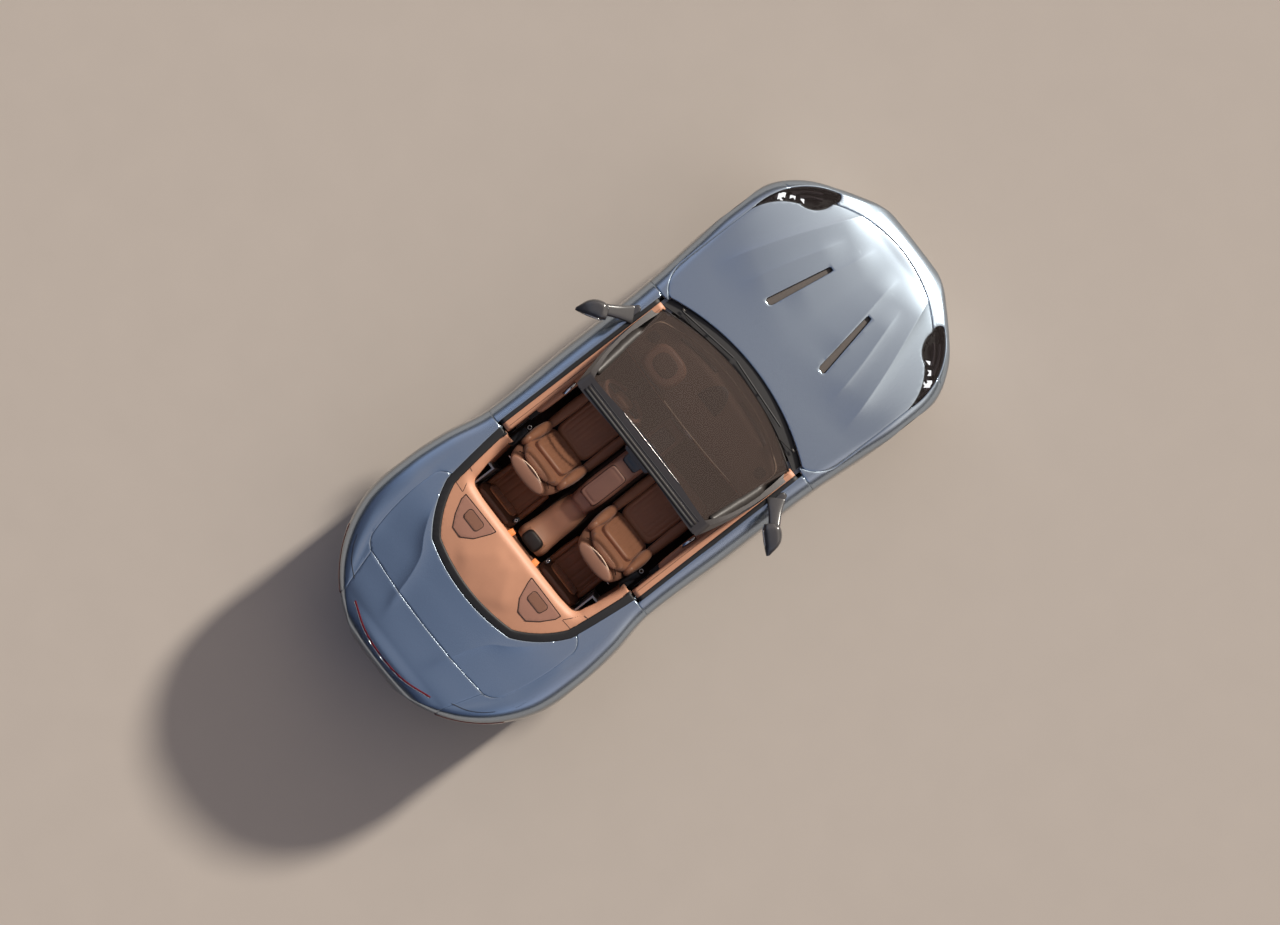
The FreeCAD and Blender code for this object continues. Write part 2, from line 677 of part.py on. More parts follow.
def floor_pan():
    """The floor with its tunnel and inner sills, narrow between the rear wheelhouses."""
    y0, y1 = DOOR_FRONT - 40, REAR_BULKHEAD - FIT
    outline = path(((760, y0), (760, WHEELHOUSE[0]), (REAR_RAIL_OUT - 15, WHEELHOUSE[0]), (REAR_RAIL_OUT - 15, y1),
                    (15 - REAR_RAIL_OUT, y1), (15 - REAR_RAIL_OUT, WHEELHOUSE[0]), (-760, WHEELHOUSE[0]), (-760, y0)))
    floor = prism(outline, FLOOR_Z, FLOOR_Z + FLOOR_THICK)
    tunnel = box(-TUNNEL_HALF, TUNNEL_HALF, y0, y1, FLOOR_Z, TUNNEL_TOP)
    inside = TUNNEL_HALF - FLOOR_THICK
    hollow = box(-inside, inside, y0 - 5, y1 + 5, FLOOR_Z - 5, TUNNEL_TOP - FLOOR_THICK)
    sill = box(700, 768, DOOR_FRONT + 1, DOOR_REAR - 1, FLOOR_Z, SILL_TOP)
    return fuse([floor, tunnel, sill, mirrored(sill)]).cut(hollow)


def rear_frame():
    """Rear bulkhead, wheelhouse walls, rails, crash beam and the deck over the final drive."""
    base = FLOOR_Z + FLOOR_THICK + FIT
    bulkhead = box(-REAR_RAIL_OUT, REAR_RAIL_OUT, REAR_BULKHEAD, REAR_BULKHEAD + 16, base, 800)
    bulkhead = bulkhead.cut(bar(vec(0, REAR_BULKHEAD - 10, 320), vec(0, REAR_BULKHEAD + 30, 320), 72))
    bulkhead = bulkhead.cut(box(-TUNNEL_HALF, TUNNEL_HALF, REAR_BULKHEAD - 10, REAR_BULKHEAD + 30, 0, 250))
    front, back = WHEELHOUSE
    pieces = [
        bulkhead,
        box(-REAR_RAIL_OUT, REAR_RAIL_OUT, REAR_BULKHEAD, back - 162, 560, 575),
        box(-REAR_RAIL_OUT, REAR_RAIL_OUT, TAIL - 250, TAIL - 215, 450, 540),
    ]
    for side in (-1, 1):
        x0, x1 = sorted((side * REAR_RAIL_IN, side * REAR_RAIL_OUT))
        pieces.append(box(x0, x1, REAR_BULKHEAD, TAIL - 220, 450, 540))
        pieces.append(box(x0, x1, REAR_AXLE - 180, REAR_AXLE + 180, 230, 560))
        wall0, wall1 = sorted((side * (REAR_RAIL_OUT - 12), side * REAR_RAIL_OUT))
        pieces.append(box(wall0, wall1, front, back, 215, 770))
        end0, end1 = sorted((side * (REAR_RAIL_OUT - 12), side * 700))
        pieces.append(box(end0, end1, front + FIT, front + 12, base, 770))
        side0, side1 = sorted((side * 688, side * 700))
        pieces.append(box(side0, side1, DOOR_REAR + 20, front + 12, base, 770))
        post0, post1 = sorted((side * 690, side * 770))
        pieces.append(box(post0, post1, DOOR_REAR + 20, DOOR_REAR + 60, base, 800))
    return fuse(pieces)


def boot_tub():
    """The open-topped luggage tub, with the pins that the boot lid turns on."""
    y0, y1, z0, z1 = BUMPER_BREAK - 150 + FIT, TUB_END, TUB_BOTTOM, 690
    tub = box(-495, 495, y0, y1, z0, z1).cut(box(-480, 480, y0 + 15, y1 - 15, z0 + 15, z1 + 10))
    y, z = BOOT_HINGE
    pieces = [tub]
    for side in (-1, 1):
        tab0, tab1 = sorted((side * 480, side * 495))
        pieces.append(box(tab0, tab1, y - 40, y + 25, z1 - 5, z + 16))
        x0, x1 = sorted((side * (BOOT_HINGE_X - 12), side * 482))
        pieces.append(bar(vec(x0, y, z), vec(x1, y, z), HINGE_PIN))
    return fuse(pieces)


def wheel_liners(seat):
    """The arch liners, thin curved shells from the rails out to the skins."""
    liners = []
    for y, x0 in ((FRONT_AXLE, RAIL_OUT + FIT), (REAR_AXLE, REAR_RAIL_OUT + FIT)):
        outer = Part.makeCylinder(ARCH_RADIUS + 7, 1100 - x0, vec(x0, y, TYRE_RADIUS), LEFT)
        hole = Part.makeCylinder(ARCH_RADIUS + 1, 1120 - x0, vec(x0 - 10, y, TYRE_RADIUS), LEFT)
        ring = outer.cut(hole).common(box(0, 1100, y - 500, y + 500, 215, 900))
        liners.append(ring.common(seat))
    return Part.makeCompound([liners[0], mirrored(liners[0]), liners[1], mirrored(liners[1])])


def glass_edge(y, z, half, sweep, drop, depth):
    """One end of the glass: a thin curved band across the car, in the plane of its own arc."""
    left, middle, right = vec(half, y + sweep, z - drop), vec(0, y, z), vec(-half, y + sweep, z - drop)
    circle = Part.Arc(left, middle, right).toShape().Curve
    inward = (circle.Radius - depth) / circle.Radius
    inner = [circle.Center.add((p - circle.Center) * inward) for p in (right, middle, left)]
    return Part.Wire([arc(left, middle, right), line(right, inner[0]), arc(*inner), line(inner[2], left)])


def windscreen():
    """The curved glass, about six millimetres thick."""
    low = glass_edge(CABIN_NOSE + 105, 938, 690, 135, 48, 9.3)
    high = glass_edge(-48, 1233.5, 592, 58, 40, 7.3)
    return Part.makeLoft([low, high], True, True)


def pillar_section(x, y, z, wide, long, lean):
    """A flat four-cornered section, from its inner front corner, wide across and long to the rear."""
    corners = ((x, y, z), (x + wide, y, z - lean), (x + wide, y + long, z - lean + 2), (x, y + long, z + 2))
    return corners


def windscreen_frame():
    """The two front pillars and the header between them."""
    pillar = lofted_bar((
        pillar_section(684, DOOR_FRONT + 60, 868, 54, 180, 6),
        pillar_section(694, -440, 985, 34, 110, 6),
        pillar_section(652, -170, 1120, 32, 85, 8),
        pillar_section(592, -30, 1222, 46, 112, 20),
    ))
    stations = ((614, 1220), (320, 1250), (0, 1258), (-320, 1250), (-614, 1220))
    header = lofted_bar([
        ((x, -60 + abs(x) * 0.05, z), (x, 66 + abs(x) * 0.035, z - 4),
         (x, 66 + abs(x) * 0.035, z - 26), (x, -60 + abs(x) * 0.05, z - 24))
        for x, z in stations
    ])
    return fuse([header, pillar, mirrored(pillar)])


def cowl():
    """The dark scuttle between the bonnet and the glass."""
    sections = []
    for x in (-715, -480, -240, 0, 240, 480, 715):
        share = (x / COWL_CORNER[0]) ** 2
        y0 = CABIN_NOSE + FIT + share * (COWL_CORNER[1] - CABIN_NOSE)
        y1 = CABIN_NOSE + 102 + share * 125
        z = 912 - share * 42
        sections.append(((x, y0, z - 10), (x, y1, z + 4), (x, y1, z - 26), (x, y0, z - 40)))
    return fuse([lofted_bar(sections)] + wipers())


def wipers():
    """Two wiper blades over the scuttle, each on its short arm."""
    pieces = []
    for x0, x1 in ((-420, 110), (140, 600)):
        y0 = CABIN_NOSE + 62 + 125 * (x0 / 735) ** 2
        y1 = CABIN_NOSE + 62 + 125 * (x1 / 735) ** 2
        pieces.append(bar(vec(x0, y0, 930), vec(x1, y1, 930 - 8 * (x1 / 600) ** 2), 6))
        middle, y = (x0 + x1) / 2, (y0 + y1) / 2
        pieces.append(bar(vec(middle, y, 890), vec(middle, y, 930), 9))
    return pieces


def rounded(half_width, half_depth, centre, radius):
    """A closed wire in the plane Z = centre.z, a rectangle with rounded corners."""
    w, d, r = half_width, half_depth, min(radius, half_width * 0.98, half_depth * 0.98)
    k = r * (1 - math.sqrt(0.5))
    pts = ((w, -d + r), (w, d - r), (w - k, d - k), (w - r, d), (-w + r, d), (-w + k, d - k), (-w, d - r),
           (-w, -d + r), (-w + k, -d + k), (-w + r, -d), (w - r, -d), (w - k, -d + k))
    p = [centre.add(vec(x, y, 0)) for x, y in pts]
    edges = [line(p[0], p[1]), arc(p[1], p[2], p[3]), line(p[3], p[4]), arc(p[4], p[5], p[6]), line(p[6], p[7]),
             arc(p[7], p[8], p[9]), line(p[9], p[10]), arc(p[10], p[11], p[0])]
    return Part.Wire(edges)


def pad(rows, x):
    """A soft form through level sections, one for each row."""
    wires = [rounded(wide, deep, vec(x, y, z), radius) for z, wide, deep, y, radius in rows]
    return Part.makeLoft(wires, True, False)


def long_pad(rows, x):
    """A soft form through upright sections, one for each row, from front to rear."""
    wires = []
    for y, wide, high, z, radius in rows:
        wire = rounded(wide, high, ORIGIN, radius)
        wire.rotate(ORIGIN, LEFT, 90)
        wire.translate(vec(x, y, z))
        wires.append(wire)
    return Part.makeLoft(wires, True, False)


def front_seat():
    """One sports seat: cushion, raked back with its head restraint, and a bolster along each side of both."""
    pieces = [pad(SEAT_CUSHION, SEAT_X), pad(SEAT_BACK, SEAT_X)]
    for side in (-1, 1):
        pieces.append(long_pad(CUSHION_BOLSTER, SEAT_X + side * CUSHION_BOLSTER_X))
        pieces.append(pad(BACK_BOLSTER, SEAT_X + side * BACK_BOLSTER_X))
    return pieces[0].multiFuse(pieces[1:])


def rear_seats():
    """Two small rear seats, one on each side of the tunnel."""
    return pair(pad(REAR_CUSHION, REAR_SEAT_X).fuse(pad(REAR_BACK, REAR_SEAT_X)))


def cockpit_trim(middle, deep):
    """The leather deck behind the seats, with the panels beside the rear seats."""
    ledge = 640
    ring = prism(CABIN, 700, 1200, -34).cut(box(-2000, 2000, -3000, DOOR_REAR, 0, 1300))
    well = box(-ledge, ledge, DOOR_REAR - 10, REAR_BULKHEAD + 30, 0, 1300)
    deck = middle.cut(deep).common(ring).cut(well)
    front, back, inner = DOOR_REAR + 20, REAR_BULKHEAD - FIT, REAR_RAIL_OUT - 18
    base = FLOOR_Z + FLOOR_THICK + FIT
    side = box(inner, inner + 5.6, front, back, base, 812)
    top = box(inner, 687.6, front, back, 800, 812)
    riser = box(ledge, ledge + 12, front, back, 800, 905)
    nose = box(inner, 687.6, front, front + 12, base, 812)
    pod = fuse([side, top, riser.common(middle), nose])
    return fuse([deck, pod, mirrored(pod)])


def cockpit_seal(outer, inner):
    """The black rubber band round the back of the cockpit."""
    ring = prism(CABIN, 700, 1200, -FIT).cut(prism(CABIN, 600, 1300, -33))
    return outer.cut(inner).common(ring).cut(box(-2000, 2000, -3000, DOOR_REAR, 0, 1300))


def dash_section(x, top, back):
    """One upright section along the car: a rolled top, a face that leans under and a knee roll."""
    front = FIREWALL + 16 + FIT
    p = [vec(x, y, z) for y, z in (
        (front, top - 14), ((front + back) / 2, top + 1), (back - 84, top - 3), (back - 22, top - 22), (back, top - 72),
        (back - 26, top - 150), (back - 64, top - 234), (back - 150, top - 262), (front, top - 300),
    )]
    edges = [arc(p[0], p[1], p[2]), arc(p[2], p[3], p[4]), line(p[4], p[5]), arc(p[5], p[6], p[7]), line(p[7], p[8]), line(p[8], p[0])]
    return Part.Wire(edges)


def dashboard():
    """The dash across the car, with its screen, the driver's binnacle and the column."""
    dash = Part.makeLoft([dash_section(*row) for row in DASH], True, False)
    face = vec(0, -352, 0)
    binnacle = pad(BINNACLE, BINNACLE_X).cut(box(BINNACLE_X - 118, BINNACLE_X + 118, face.y, face.y + 60, 815, 890))
    screen = box(-150, 150, -10, 10, -72, 72)
    screen.rotate(ORIGIN, LEFT, 14)
    screen.translate(vec(0, -292, 775))
    centre = vec(*WHEEL_CENTRE)
    tilt = math.radians(COLUMN_TILT)
    axis = vec(0, math.cos(tilt), math.sin(tilt))
    column = bar(centre.sub(axis * 330), centre.sub(axis * 40), 38)
    shaft = bar(centre.sub(axis * 60), centre.add(axis * 12), 12)
    return fuse([dash, binnacle, screen, column, shaft])


def steering_wheel():
    """A three-spoke wheel on the column's end."""
    cx, cy, cz = WHEEL_CENTRE
    ring = Part.makeTorus(STEERING_WHEEL_RADIUS - 14, 14, ORIGIN, UP)
    boss = Part.makeCylinder(62, 44, vec(0, 0, -34))
    spokes = [box(40, STEERING_WHEEL_RADIUS - 16, -22, 22, -12, 4), box(-STEERING_WHEEL_RADIUS + 16, -40, -22, 22, -12, 4),
              box(-22, 22, -STEERING_WHEEL_RADIUS + 16, -40, -12, 4)]
    wheel = fuse([ring, boss] + spokes).cut(Part.makeCylinder(12 + RUNNING, 48, vec(0, 0, -35)))
    wheel.rotate(ORIGIN, LEFT, COLUMN_TILT - 90)
    wheel.translate(vec(cx, cy, cz))
    return wheel


def hump(y, half, top, radius):
    """An upright section on the tunnel, with its two upper corners rounded."""
    low, k = TUNNEL_TOP + FIT, radius * (1 - math.sqrt(0.5))
    p = [vec(x, y, z) for x, z in (
        (-half, low), (half, low), (half, top - radius), (half - k, top - k), (half - radius, top),
        (radius - half, top), (k - half, top - k), (-half, top - radius),
    )]
    edges = [line(p[0], p[1]), line(p[1], p[2]), arc(p[2], p[3], p[4]), line(p[4], p[5]), arc(p[5], p[6], p[7]), line(p[7], p[0])]
    return Part.Wire(edges)


def centre_console():
    """The console over the tunnel, from the dash to the rear seats, with its rounded cap."""
    body = Part.makeLoft([hump(*row) for row in CONSOLE], True, False)
    return body.fuse(pad(CONSOLE_CAP, 0))


def interior_mirror():
    """The mirror below the header, on its stalk."""
    glass = pad(((1105, 115, 20, 60, 18), (1140, 120, 26, 66, 24), (1175, 112, 20, 74, 18)), 0)
    stalk = bar(vec(0, 60, 1150), vec(0, 8, 1236), 9)
    return glass.fuse(stalk).cut(box(-60, 60, -60, 90, 1232.4, 1300))


def door_mirror(proud):
    """The left door mirror: a wedge-shaped head, swept to the rear, on a slim arm."""
    y = DOOR_FRONT + 240
    head_at = vec(894, y + 132, 965)
    arm = lofted_bar((
        ((795, y - 50, 902), (795, y + 50, 902), (795, y + 50, 880), (795, y - 50, 880)),
        ((870, y + 10, 932), (870, y + 62, 932), (870, y + 62, 912), (870, y + 10, 912)),
        ((940, y + 60, 960), (940, y + 112, 960), (940, y + 112, 938), (940, y + 60, 938)),
    ))
    wires = [rounded(high, deep, vec(0, -deep, along), radius) for along, high, deep, radius in MIRROR_HEAD]
    head = Part.makeLoft(wires, True, False)
    head.rotate(ORIGIN, BACK, 90)
    head.rotate(ORIGIN, UP, MIRROR_TURN)
    head.translate(head_at)
    return arm.fuse(head).cut(proud)


def pedals():
    """The brake and accelerator pads, each hung from the firewall on a bar."""
    pads = ((330, 405, 290, 345), (452, 498, 180, 330))
    pieces = []
    for x0, x1, z0, z1 in pads:
        middle = (x0 + x1) / 2
        pieces.append(box(x0, x1, FIREWALL + 105, FIREWALL + 117, z0, z1))
        pieces.append(bar(vec(middle, FIREWALL + 10, 500), vec(middle, FIREWALL + 111, z1 - 20), 8))
    return pieces


def rim(width, barrel_x):
    """A wheel with twin-line spokes, a brake disc and a hub, turning about X with its outer face at +X."""
    half = width / 2
    outer_seat = RIM_SEAT - FIT
    profile = [(-half, outer_seat + 12), (-half, outer_seat - 14), (-half + 40, outer_seat - 34), (half - 60, outer_seat - 34),
               (half - 14, outer_seat - 16), (half, outer_seat - 6), (half, outer_seat + 12), (half - 8, outer_seat + 12),
               (half - 12, outer_seat), (-half + 12, outer_seat), (-half + 8, outer_seat + 12)]
    wire = Part.makePolygon([vec(x, 0, r) for x, r in profile + profile[:1]])
    barrel = Part.Face(wire).revolve(ORIGIN, LEFT, 360)
    spoke = lofted_bar((
        ((half - 62, -30, 52), (half - 62, 30, 52), (half - 22, 22, 52), (half - 22, -22, 52)),
        ((half - 48, -17, 150), (half - 48, 17, 150), (half - 12, 11, 150), (half - 12, -11, 150)),
        ((half - 46, -22, 246), (half - 46, 22, 246), (half - 10, 15, 246), (half - 10, -15, 246)),
    ))
    spokes = []
    for i in range(SPOKES):
        s = spoke.copy()
        s.rotate(ORIGIN, LEFT, 360.0 / SPOKES * i)
        spokes.append(s)
    boss = Part.makeCylinder(78, 46, vec(half - 64, 0, 0), LEFT)
    cap = Part.makeCylinder(34, 6, vec(half - 19, 0, 0), LEFT)
    hub_end = barrel_x
    hub = Part.makeCylinder(62, half - 60 - hub_end, vec(hub_end, 0, 0), LEFT)
    disc = Part.makeCylinder(DISC_RADIUS, DISC_WIDTH, vec(hub_end, 0, 0), LEFT).cut(
        Part.makeCylinder(118, DISC_WIDTH + 2, vec(hub_end - 1, 0, 0), LEFT))
    bell = Part.makeCylinder(122, 8, vec(hub_end + DISC_WIDTH - 8, 0, 0), LEFT)
    wheel = fuse([barrel, boss, cap, hub, disc, bell] + spokes)
    return wheel.cut(Part.makeCylinder(SPINDLE + RUNNING, half - 40 - hub_end, vec(hub_end - 1, 0, 0), LEFT))


def tyre(width):
    """A tyre about the X axis, with its beads between the rim's flanges."""
    half = width / 2
    rim_half = half - 15
    p = [(-rim_half + 13, RIM_SEAT), (-rim_half + 13, RIM_SEAT + 16), (-half, RIM_SEAT + 48), (-half + 16, TYRE_RADIUS - 12),
         (-half + 40, TYRE_RADIUS), (half - 40, TYRE_RADIUS), (half - 16, TYRE_RADIUS - 12), (half, RIM_SEAT + 48),
         (rim_half - 13, RIM_SEAT + 16), (rim_half - 13, RIM_SEAT)]
    q = [vec(x, 0, r) for x, r in p]
    edges = [line(q[0], q[1]), arc(q[1], vec(-half + 4, 0, RIM_SEAT + 30), q[2]), line(q[2], q[3]),
             arc(q[3], vec(-half + 26, 0, TYRE_RADIUS - 4), q[4]), line(q[4], q[5]), arc(q[5], vec(half - 26, 0, TYRE_RADIUS - 4), q[6]),
             line(q[6], q[7]), arc(q[7], vec(half - 4, 0, RIM_SEAT + 30), q[8]), line(q[8], q[9])]
    inside = [vec(rim_half - 30, 0, RIM_SEAT), vec(half - 18, 0, RIM_SEAT + 50), vec(half - 40, 0, TYRE_RADIUS - 22),
              vec(-half + 40, 0, TYRE_RADIUS - 22), vec(-half + 18, 0, RIM_SEAT + 50), vec(-rim_half + 30, 0, RIM_SEAT)]
    edges.append(line(q[9], inside[0]))
    edges += [line(inside[i], inside[i + 1]) for i in range(5)]
    edges.append(line(inside[5], q[0]))
    return Part.Face(Part.Wire(edges)).revolve(ORIGIN, LEFT, 360)


def caliper(disc_x, y):
    """A brake caliper behind the disc, from the upright outwards."""
    ring = Part.makeCylinder(226, DISC_WIDTH + 64, vec(disc_x - 32, y, TYRE_RADIUS), LEFT)
    ring = ring.cut(Part.makeCylinder(136, DISC_WIDTH + 70, vec(disc_x - 35, y, TYRE_RADIUS), LEFT))
    slot = Part.makeCylinder(DISC_RADIUS + 6, DISC_WIDTH + 12, vec(disc_x - 6, y, TYRE_RADIUS), LEFT)
    block = ring.cut(slot).common(box(disc_x - 40, disc_x + 80, y + 100, y + 240, TYRE_RADIUS - 105, TYRE_RADIUS + 105))
    return block


def disc_room(disc_x, y):
    """The space that a brake disc turns in, round the spindle."""
    room = Part.makeCylinder(DISC_RADIUS + 6, DISC_WIDTH + 12, vec(disc_x - 6, y, TYRE_RADIUS), LEFT)
    return room.cut(Part.makeCylinder(SPINDLE + 1, 200, vec(disc_x - 60, y, TYRE_RADIUS), LEFT))


def knuckle():
    """The left front upright: kingpin bosses, spindle and caliper."""
    top, low = TYRE_RADIUS + KINGPIN_REACH, TYRE_RADIUS - KINGPIN_REACH
    spindle_end = FRONT_WHEEL_X + 42
    pieces = [
        box(KINGPIN_X - 16, KINGPIN_X + 22, FRONT_AXLE - 34, FRONT_AXLE + 34, low, top),
        Part.makeCylinder(SPINDLE, spindle_end - KINGPIN_X - 10, vec(KINGPIN_X + 10, FRONT_AXLE, TYRE_RADIUS), LEFT),
        Part.makeCylinder(28, 28, vec(KINGPIN_X, FRONT_AXLE, top - 4)),
        Part.makeCylinder(28, 28, vec(KINGPIN_X, FRONT_AXLE, low - 24)),
        box(KINGPIN_X - 8, FRONT_DISC_X - 10, FRONT_AXLE + 20, FRONT_AXLE + 190, TYRE_RADIUS - 30, TYRE_RADIUS + 30),
        caliper(FRONT_DISC_X, FRONT_AXLE),
    ]
    solid = fuse(pieces)
    for z in (top - 10, low - 30):
        solid = solid.cut(Part.makeCylinder(12 + RUNNING, 40, vec(KINGPIN_X, FRONT_AXLE, z)))
    return solid.cut(disc_room(FRONT_DISC_X, FRONT_AXLE))


def wishbone(outer_z, rail_z, radius, pin, collar):
    """A two-armed link from the kingpin to the rail. Pin and collar are (radius, length, lowest point)."""
    arms = [bar(vec(KINGPIN_X, FRONT_AXLE, outer_z), vec(RAIL_OUT + FIT, FRONT_AXLE + s * WISHBONE_SPREAD, rail_z), radius)
            for s in (-1, 1)]
    rounds = [Part.makeCylinder(r, length, vec(KINGPIN_X, FRONT_AXLE, z)) for r, length, z in (pin, collar)]
    outside = box(RAIL_OUT + FIT, 900, FRONT_AXLE - 300, FRONT_AXLE + 300, 100, 700)
    return fuse(arms + rounds).common(outside)


def front_suspension():
    """Upper and lower wishbones of both sides, each with the pin that the upright turns on."""
    low, top = TYRE_RADIUS - KINGPIN_REACH, TYRE_RADIUS + KINGPIN_REACH
    lower = wishbone(low - 45, 240, 14, (12, 44, low - 44), (24, 20, low - 56))
    upper = wishbone(top + 46, 470, 13, (12, 46, top), (22, 18, top + 36))
    return Part.makeCompound([lower, mirrored(lower), upper, mirrored(upper)])


def rear_suspension():
    """The fixed rear uprights with spindles, calipers and links."""
    x = REAR_UPRIGHT_X
    pieces = [
        box(x - 16, x + 22, REAR_AXLE - 34, REAR_AXLE + 34, TYRE_RADIUS - 130, TYRE_RADIUS + 130),
        Part.makeCylinder(SPINDLE, SPINDLE_LENGTH, vec(x + 10, REAR_AXLE, TYRE_RADIUS), LEFT),
        box(x - 8, REAR_DISC_X - 10, REAR_AXLE - 190, REAR_AXLE - 20, TYRE_RADIUS - 30, TYRE_RADIUS + 30),
        caliper(REAR_DISC_X, REAR_AXLE).mirror(vec(0, REAR_AXLE, 0), BACK),
    ]
    for s in (-1, 1):
        for outer_z, spread, rail_z, radius in ((245, 140, 262, 15), (480, 110, 500, 13)):
            rail_end = vec(REAR_RAIL_OUT + FIT, REAR_AXLE + s * spread, rail_z)
            pieces.append(bar(vec(x, REAR_AXLE + s * 20, outer_z), rail_end, radius))
    side = fuse(pieces).cut(disc_room(REAR_DISC_X, REAR_AXLE))
    return pair(side.common(box(REAR_RAIL_OUT + FIT, 1000, REAR_AXLE - 300, REAR_AXLE + 300, 0, 900)))


def engine():
    """The engine block between the front rails, with its mounts."""
    block = box(-250, 250, FRONT_AXLE + 75, FRONT_AXLE + 700, 265, 690)
    mounts = [box(min(s * 240, s * (RAIL_IN - FIT)), max(s * 240, s * (RAIL_IN - FIT)), FRONT_AXLE + 300, FRONT_AXLE + 380, 410, 460) for s in (-1, 1)]
    return [block] + mounts


def powertrain():
    """The engine, the torque tube in the tunnel and the transaxle behind it, bolted into one piece."""
    tube = bar(vec(0, FRONT_AXLE + 690, 320), vec(0, REAR_AXLE - 150, 320), 62)
    case = box(-190, 190, REAR_AXLE - 160, REAR_AXLE + 190, 235, 480)
    hangers = [box(min(s * 180, s * (REAR_RAIL_IN - FIT)), max(s * 180, s * (REAR_RAIL_IN - FIT)), REAR_AXLE - 60, REAR_AXLE + 60, 330, 380) for s in (-1, 1)]
    return fuse(engine() + [tube, case] + hangers)


def place(shape, x, y):
    moved = shape.copy()
    moved.translate(vec(x, y, TYRE_RADIUS))
    return moved


def main():
    os.makedirs("parts", exist_ok=True)
    outer = body_form(0)
    inner = body_form(SKIN)
    seat = body_form(SKIN + FIT)
    deep = body_form(SKIN + 30)

    panels = body_panels(outer, inner)
    panels["bonnet"] = bonnet_with_hinges(panels["bonnet"], inner)
    panels["boot_lid"] = boot_lid_with_hinges(panels["boot_lid"], inner)
    for name, shape in panels.items():
        save(name, shape)

    left_door = door(outer)
    save("door_left", left_door)
    save("door_right", mirrored(left_door))
    left_mirror = door_mirror(body_form(-FIT))
    save("mirror_left", left_mirror)
    save("mirror_right", mirrored(left_mirror))

    save("headlamps", headlamps(outer))
    save("tail_lamps", tail_lamps(outer, inner))
    save("grille", grille())
    save("front_splitter", splitter())
    save("rear_diffuser", diffuser())
    save("exhaust", exhaust())
    save("cockpit_trim", cockpit_trim(inner, deep))
    save("cockpit_seal", cockpit_seal(outer, inner))

    save("floor_pan", floor_pan())
    save("front_frame", front_frame())
    save("rear_frame", rear_frame())
    save("boot_tub", boot_tub())
    save("wheel_liners", wheel_liners(seat))

    save("windscreen", windscreen())
    save("windscreen_frame", windscreen_frame())
    save("cowl", cowl())

    save("front_seats", pair(front_seat()))
    save("rear_seats", rear_seats())
    save("dashboard", dashboard())
    save("centre_console", centre_console())
    save("interior_mirror", interior_mirror())
    save("steering_wheel", steering_wheel())

    save("knuckle_left", knuckle())
    save("knuckle_right", mirrored(knuckle()))
    save("front_suspension", front_suspension())
    save("rear_suspension", rear_suspension())
    save("powertrain", powertrain())

    front_rim = rim(FRONT_TYRE_WIDTH - 30, FRONT_DISC_X - FRONT_WHEEL_X)
    rear_rim = rim(REAR_TYRE_WIDTH - 30, REAR_DISC_X - REAR_WHEEL_X)
    for end, wheel, width, x, y in (
        ("front", front_rim, FRONT_TYRE_WIDTH, FRONT_WHEEL_X, FRONT_AXLE),
        ("rear", rear_rim, REAR_TYRE_WIDTH, REAR_WHEEL_X, REAR_AXLE),
    ):
        for side in ("left", "right"):
            placed = place(wheel, x, y)
            rubber = place(tyre(width), x, y)
            if side == "right":
                placed = mirrored(placed)
                rubber = mirrored(rubber)
            save("wheel_" + end + "_" + side, placed)
            save("tyre_" + end + "_" + side, rubber)


main()
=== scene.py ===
import json
import logging
import math
from dataclasses import dataclass, field
from enum import Enum
from typing import Callable, Iterable, Sequence

import bmesh
import bpy
import numpy as np
from mathutils import Matrix, Vector
from mathutils.bvhtree import BVHTree

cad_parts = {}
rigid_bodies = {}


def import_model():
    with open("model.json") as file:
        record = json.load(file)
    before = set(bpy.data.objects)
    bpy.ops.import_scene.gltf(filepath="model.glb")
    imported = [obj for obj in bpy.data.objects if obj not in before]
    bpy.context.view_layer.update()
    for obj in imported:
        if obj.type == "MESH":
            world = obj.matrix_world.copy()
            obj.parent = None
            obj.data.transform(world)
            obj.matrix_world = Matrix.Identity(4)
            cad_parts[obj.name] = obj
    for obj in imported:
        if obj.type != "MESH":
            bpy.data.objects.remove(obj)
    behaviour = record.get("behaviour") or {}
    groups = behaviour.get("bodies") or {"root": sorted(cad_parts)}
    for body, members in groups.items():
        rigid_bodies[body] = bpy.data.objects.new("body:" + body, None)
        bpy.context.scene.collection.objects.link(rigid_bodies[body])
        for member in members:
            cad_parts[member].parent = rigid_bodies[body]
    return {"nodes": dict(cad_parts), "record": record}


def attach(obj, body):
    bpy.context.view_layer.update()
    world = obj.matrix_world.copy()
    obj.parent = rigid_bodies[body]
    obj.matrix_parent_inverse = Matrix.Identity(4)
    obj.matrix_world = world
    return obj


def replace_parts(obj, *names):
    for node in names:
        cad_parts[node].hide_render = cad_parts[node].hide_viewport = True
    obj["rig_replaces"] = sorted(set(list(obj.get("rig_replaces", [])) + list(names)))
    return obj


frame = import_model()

log = logging.getLogger("roadster")
Piece = bpy.types.Object
Point = tuple[float, ...]
Field = Callable[[np.ndarray], np.ndarray]

# Driving sizes in metres, in the row frame: +Z up, the nose towards -Y, the car's left side +X.
LENGTH = 4.725
NOSE = -LENGTH / 2
TAIL = LENGTH / 2
FRONT_AXLE = NOSE + 0.87
REAR_AXLE = FRONT_AXLE + 2.805
AXLE_Z = 0.363
ARCH_RADIUS = 0.398
NOSE_BREAK = NOSE + 0.48
DOOR_FRONT = FRONT_AXLE + 0.75
DOOR_REAR = REAR_AXLE - 0.644
BUMPER_BREAK = REAR_AXLE + 0.4
SILL_TOP = 0.25
SKIRT_X = 0.775
MOUTH_DEPTH = 0.35
TAIL_BREAK = 0.696
SHUT = 0.003
SEAL_WIDTH = 0.05
DECK_FRONT = DOOR_REAR + 0.004
SEAT_X = 0.37


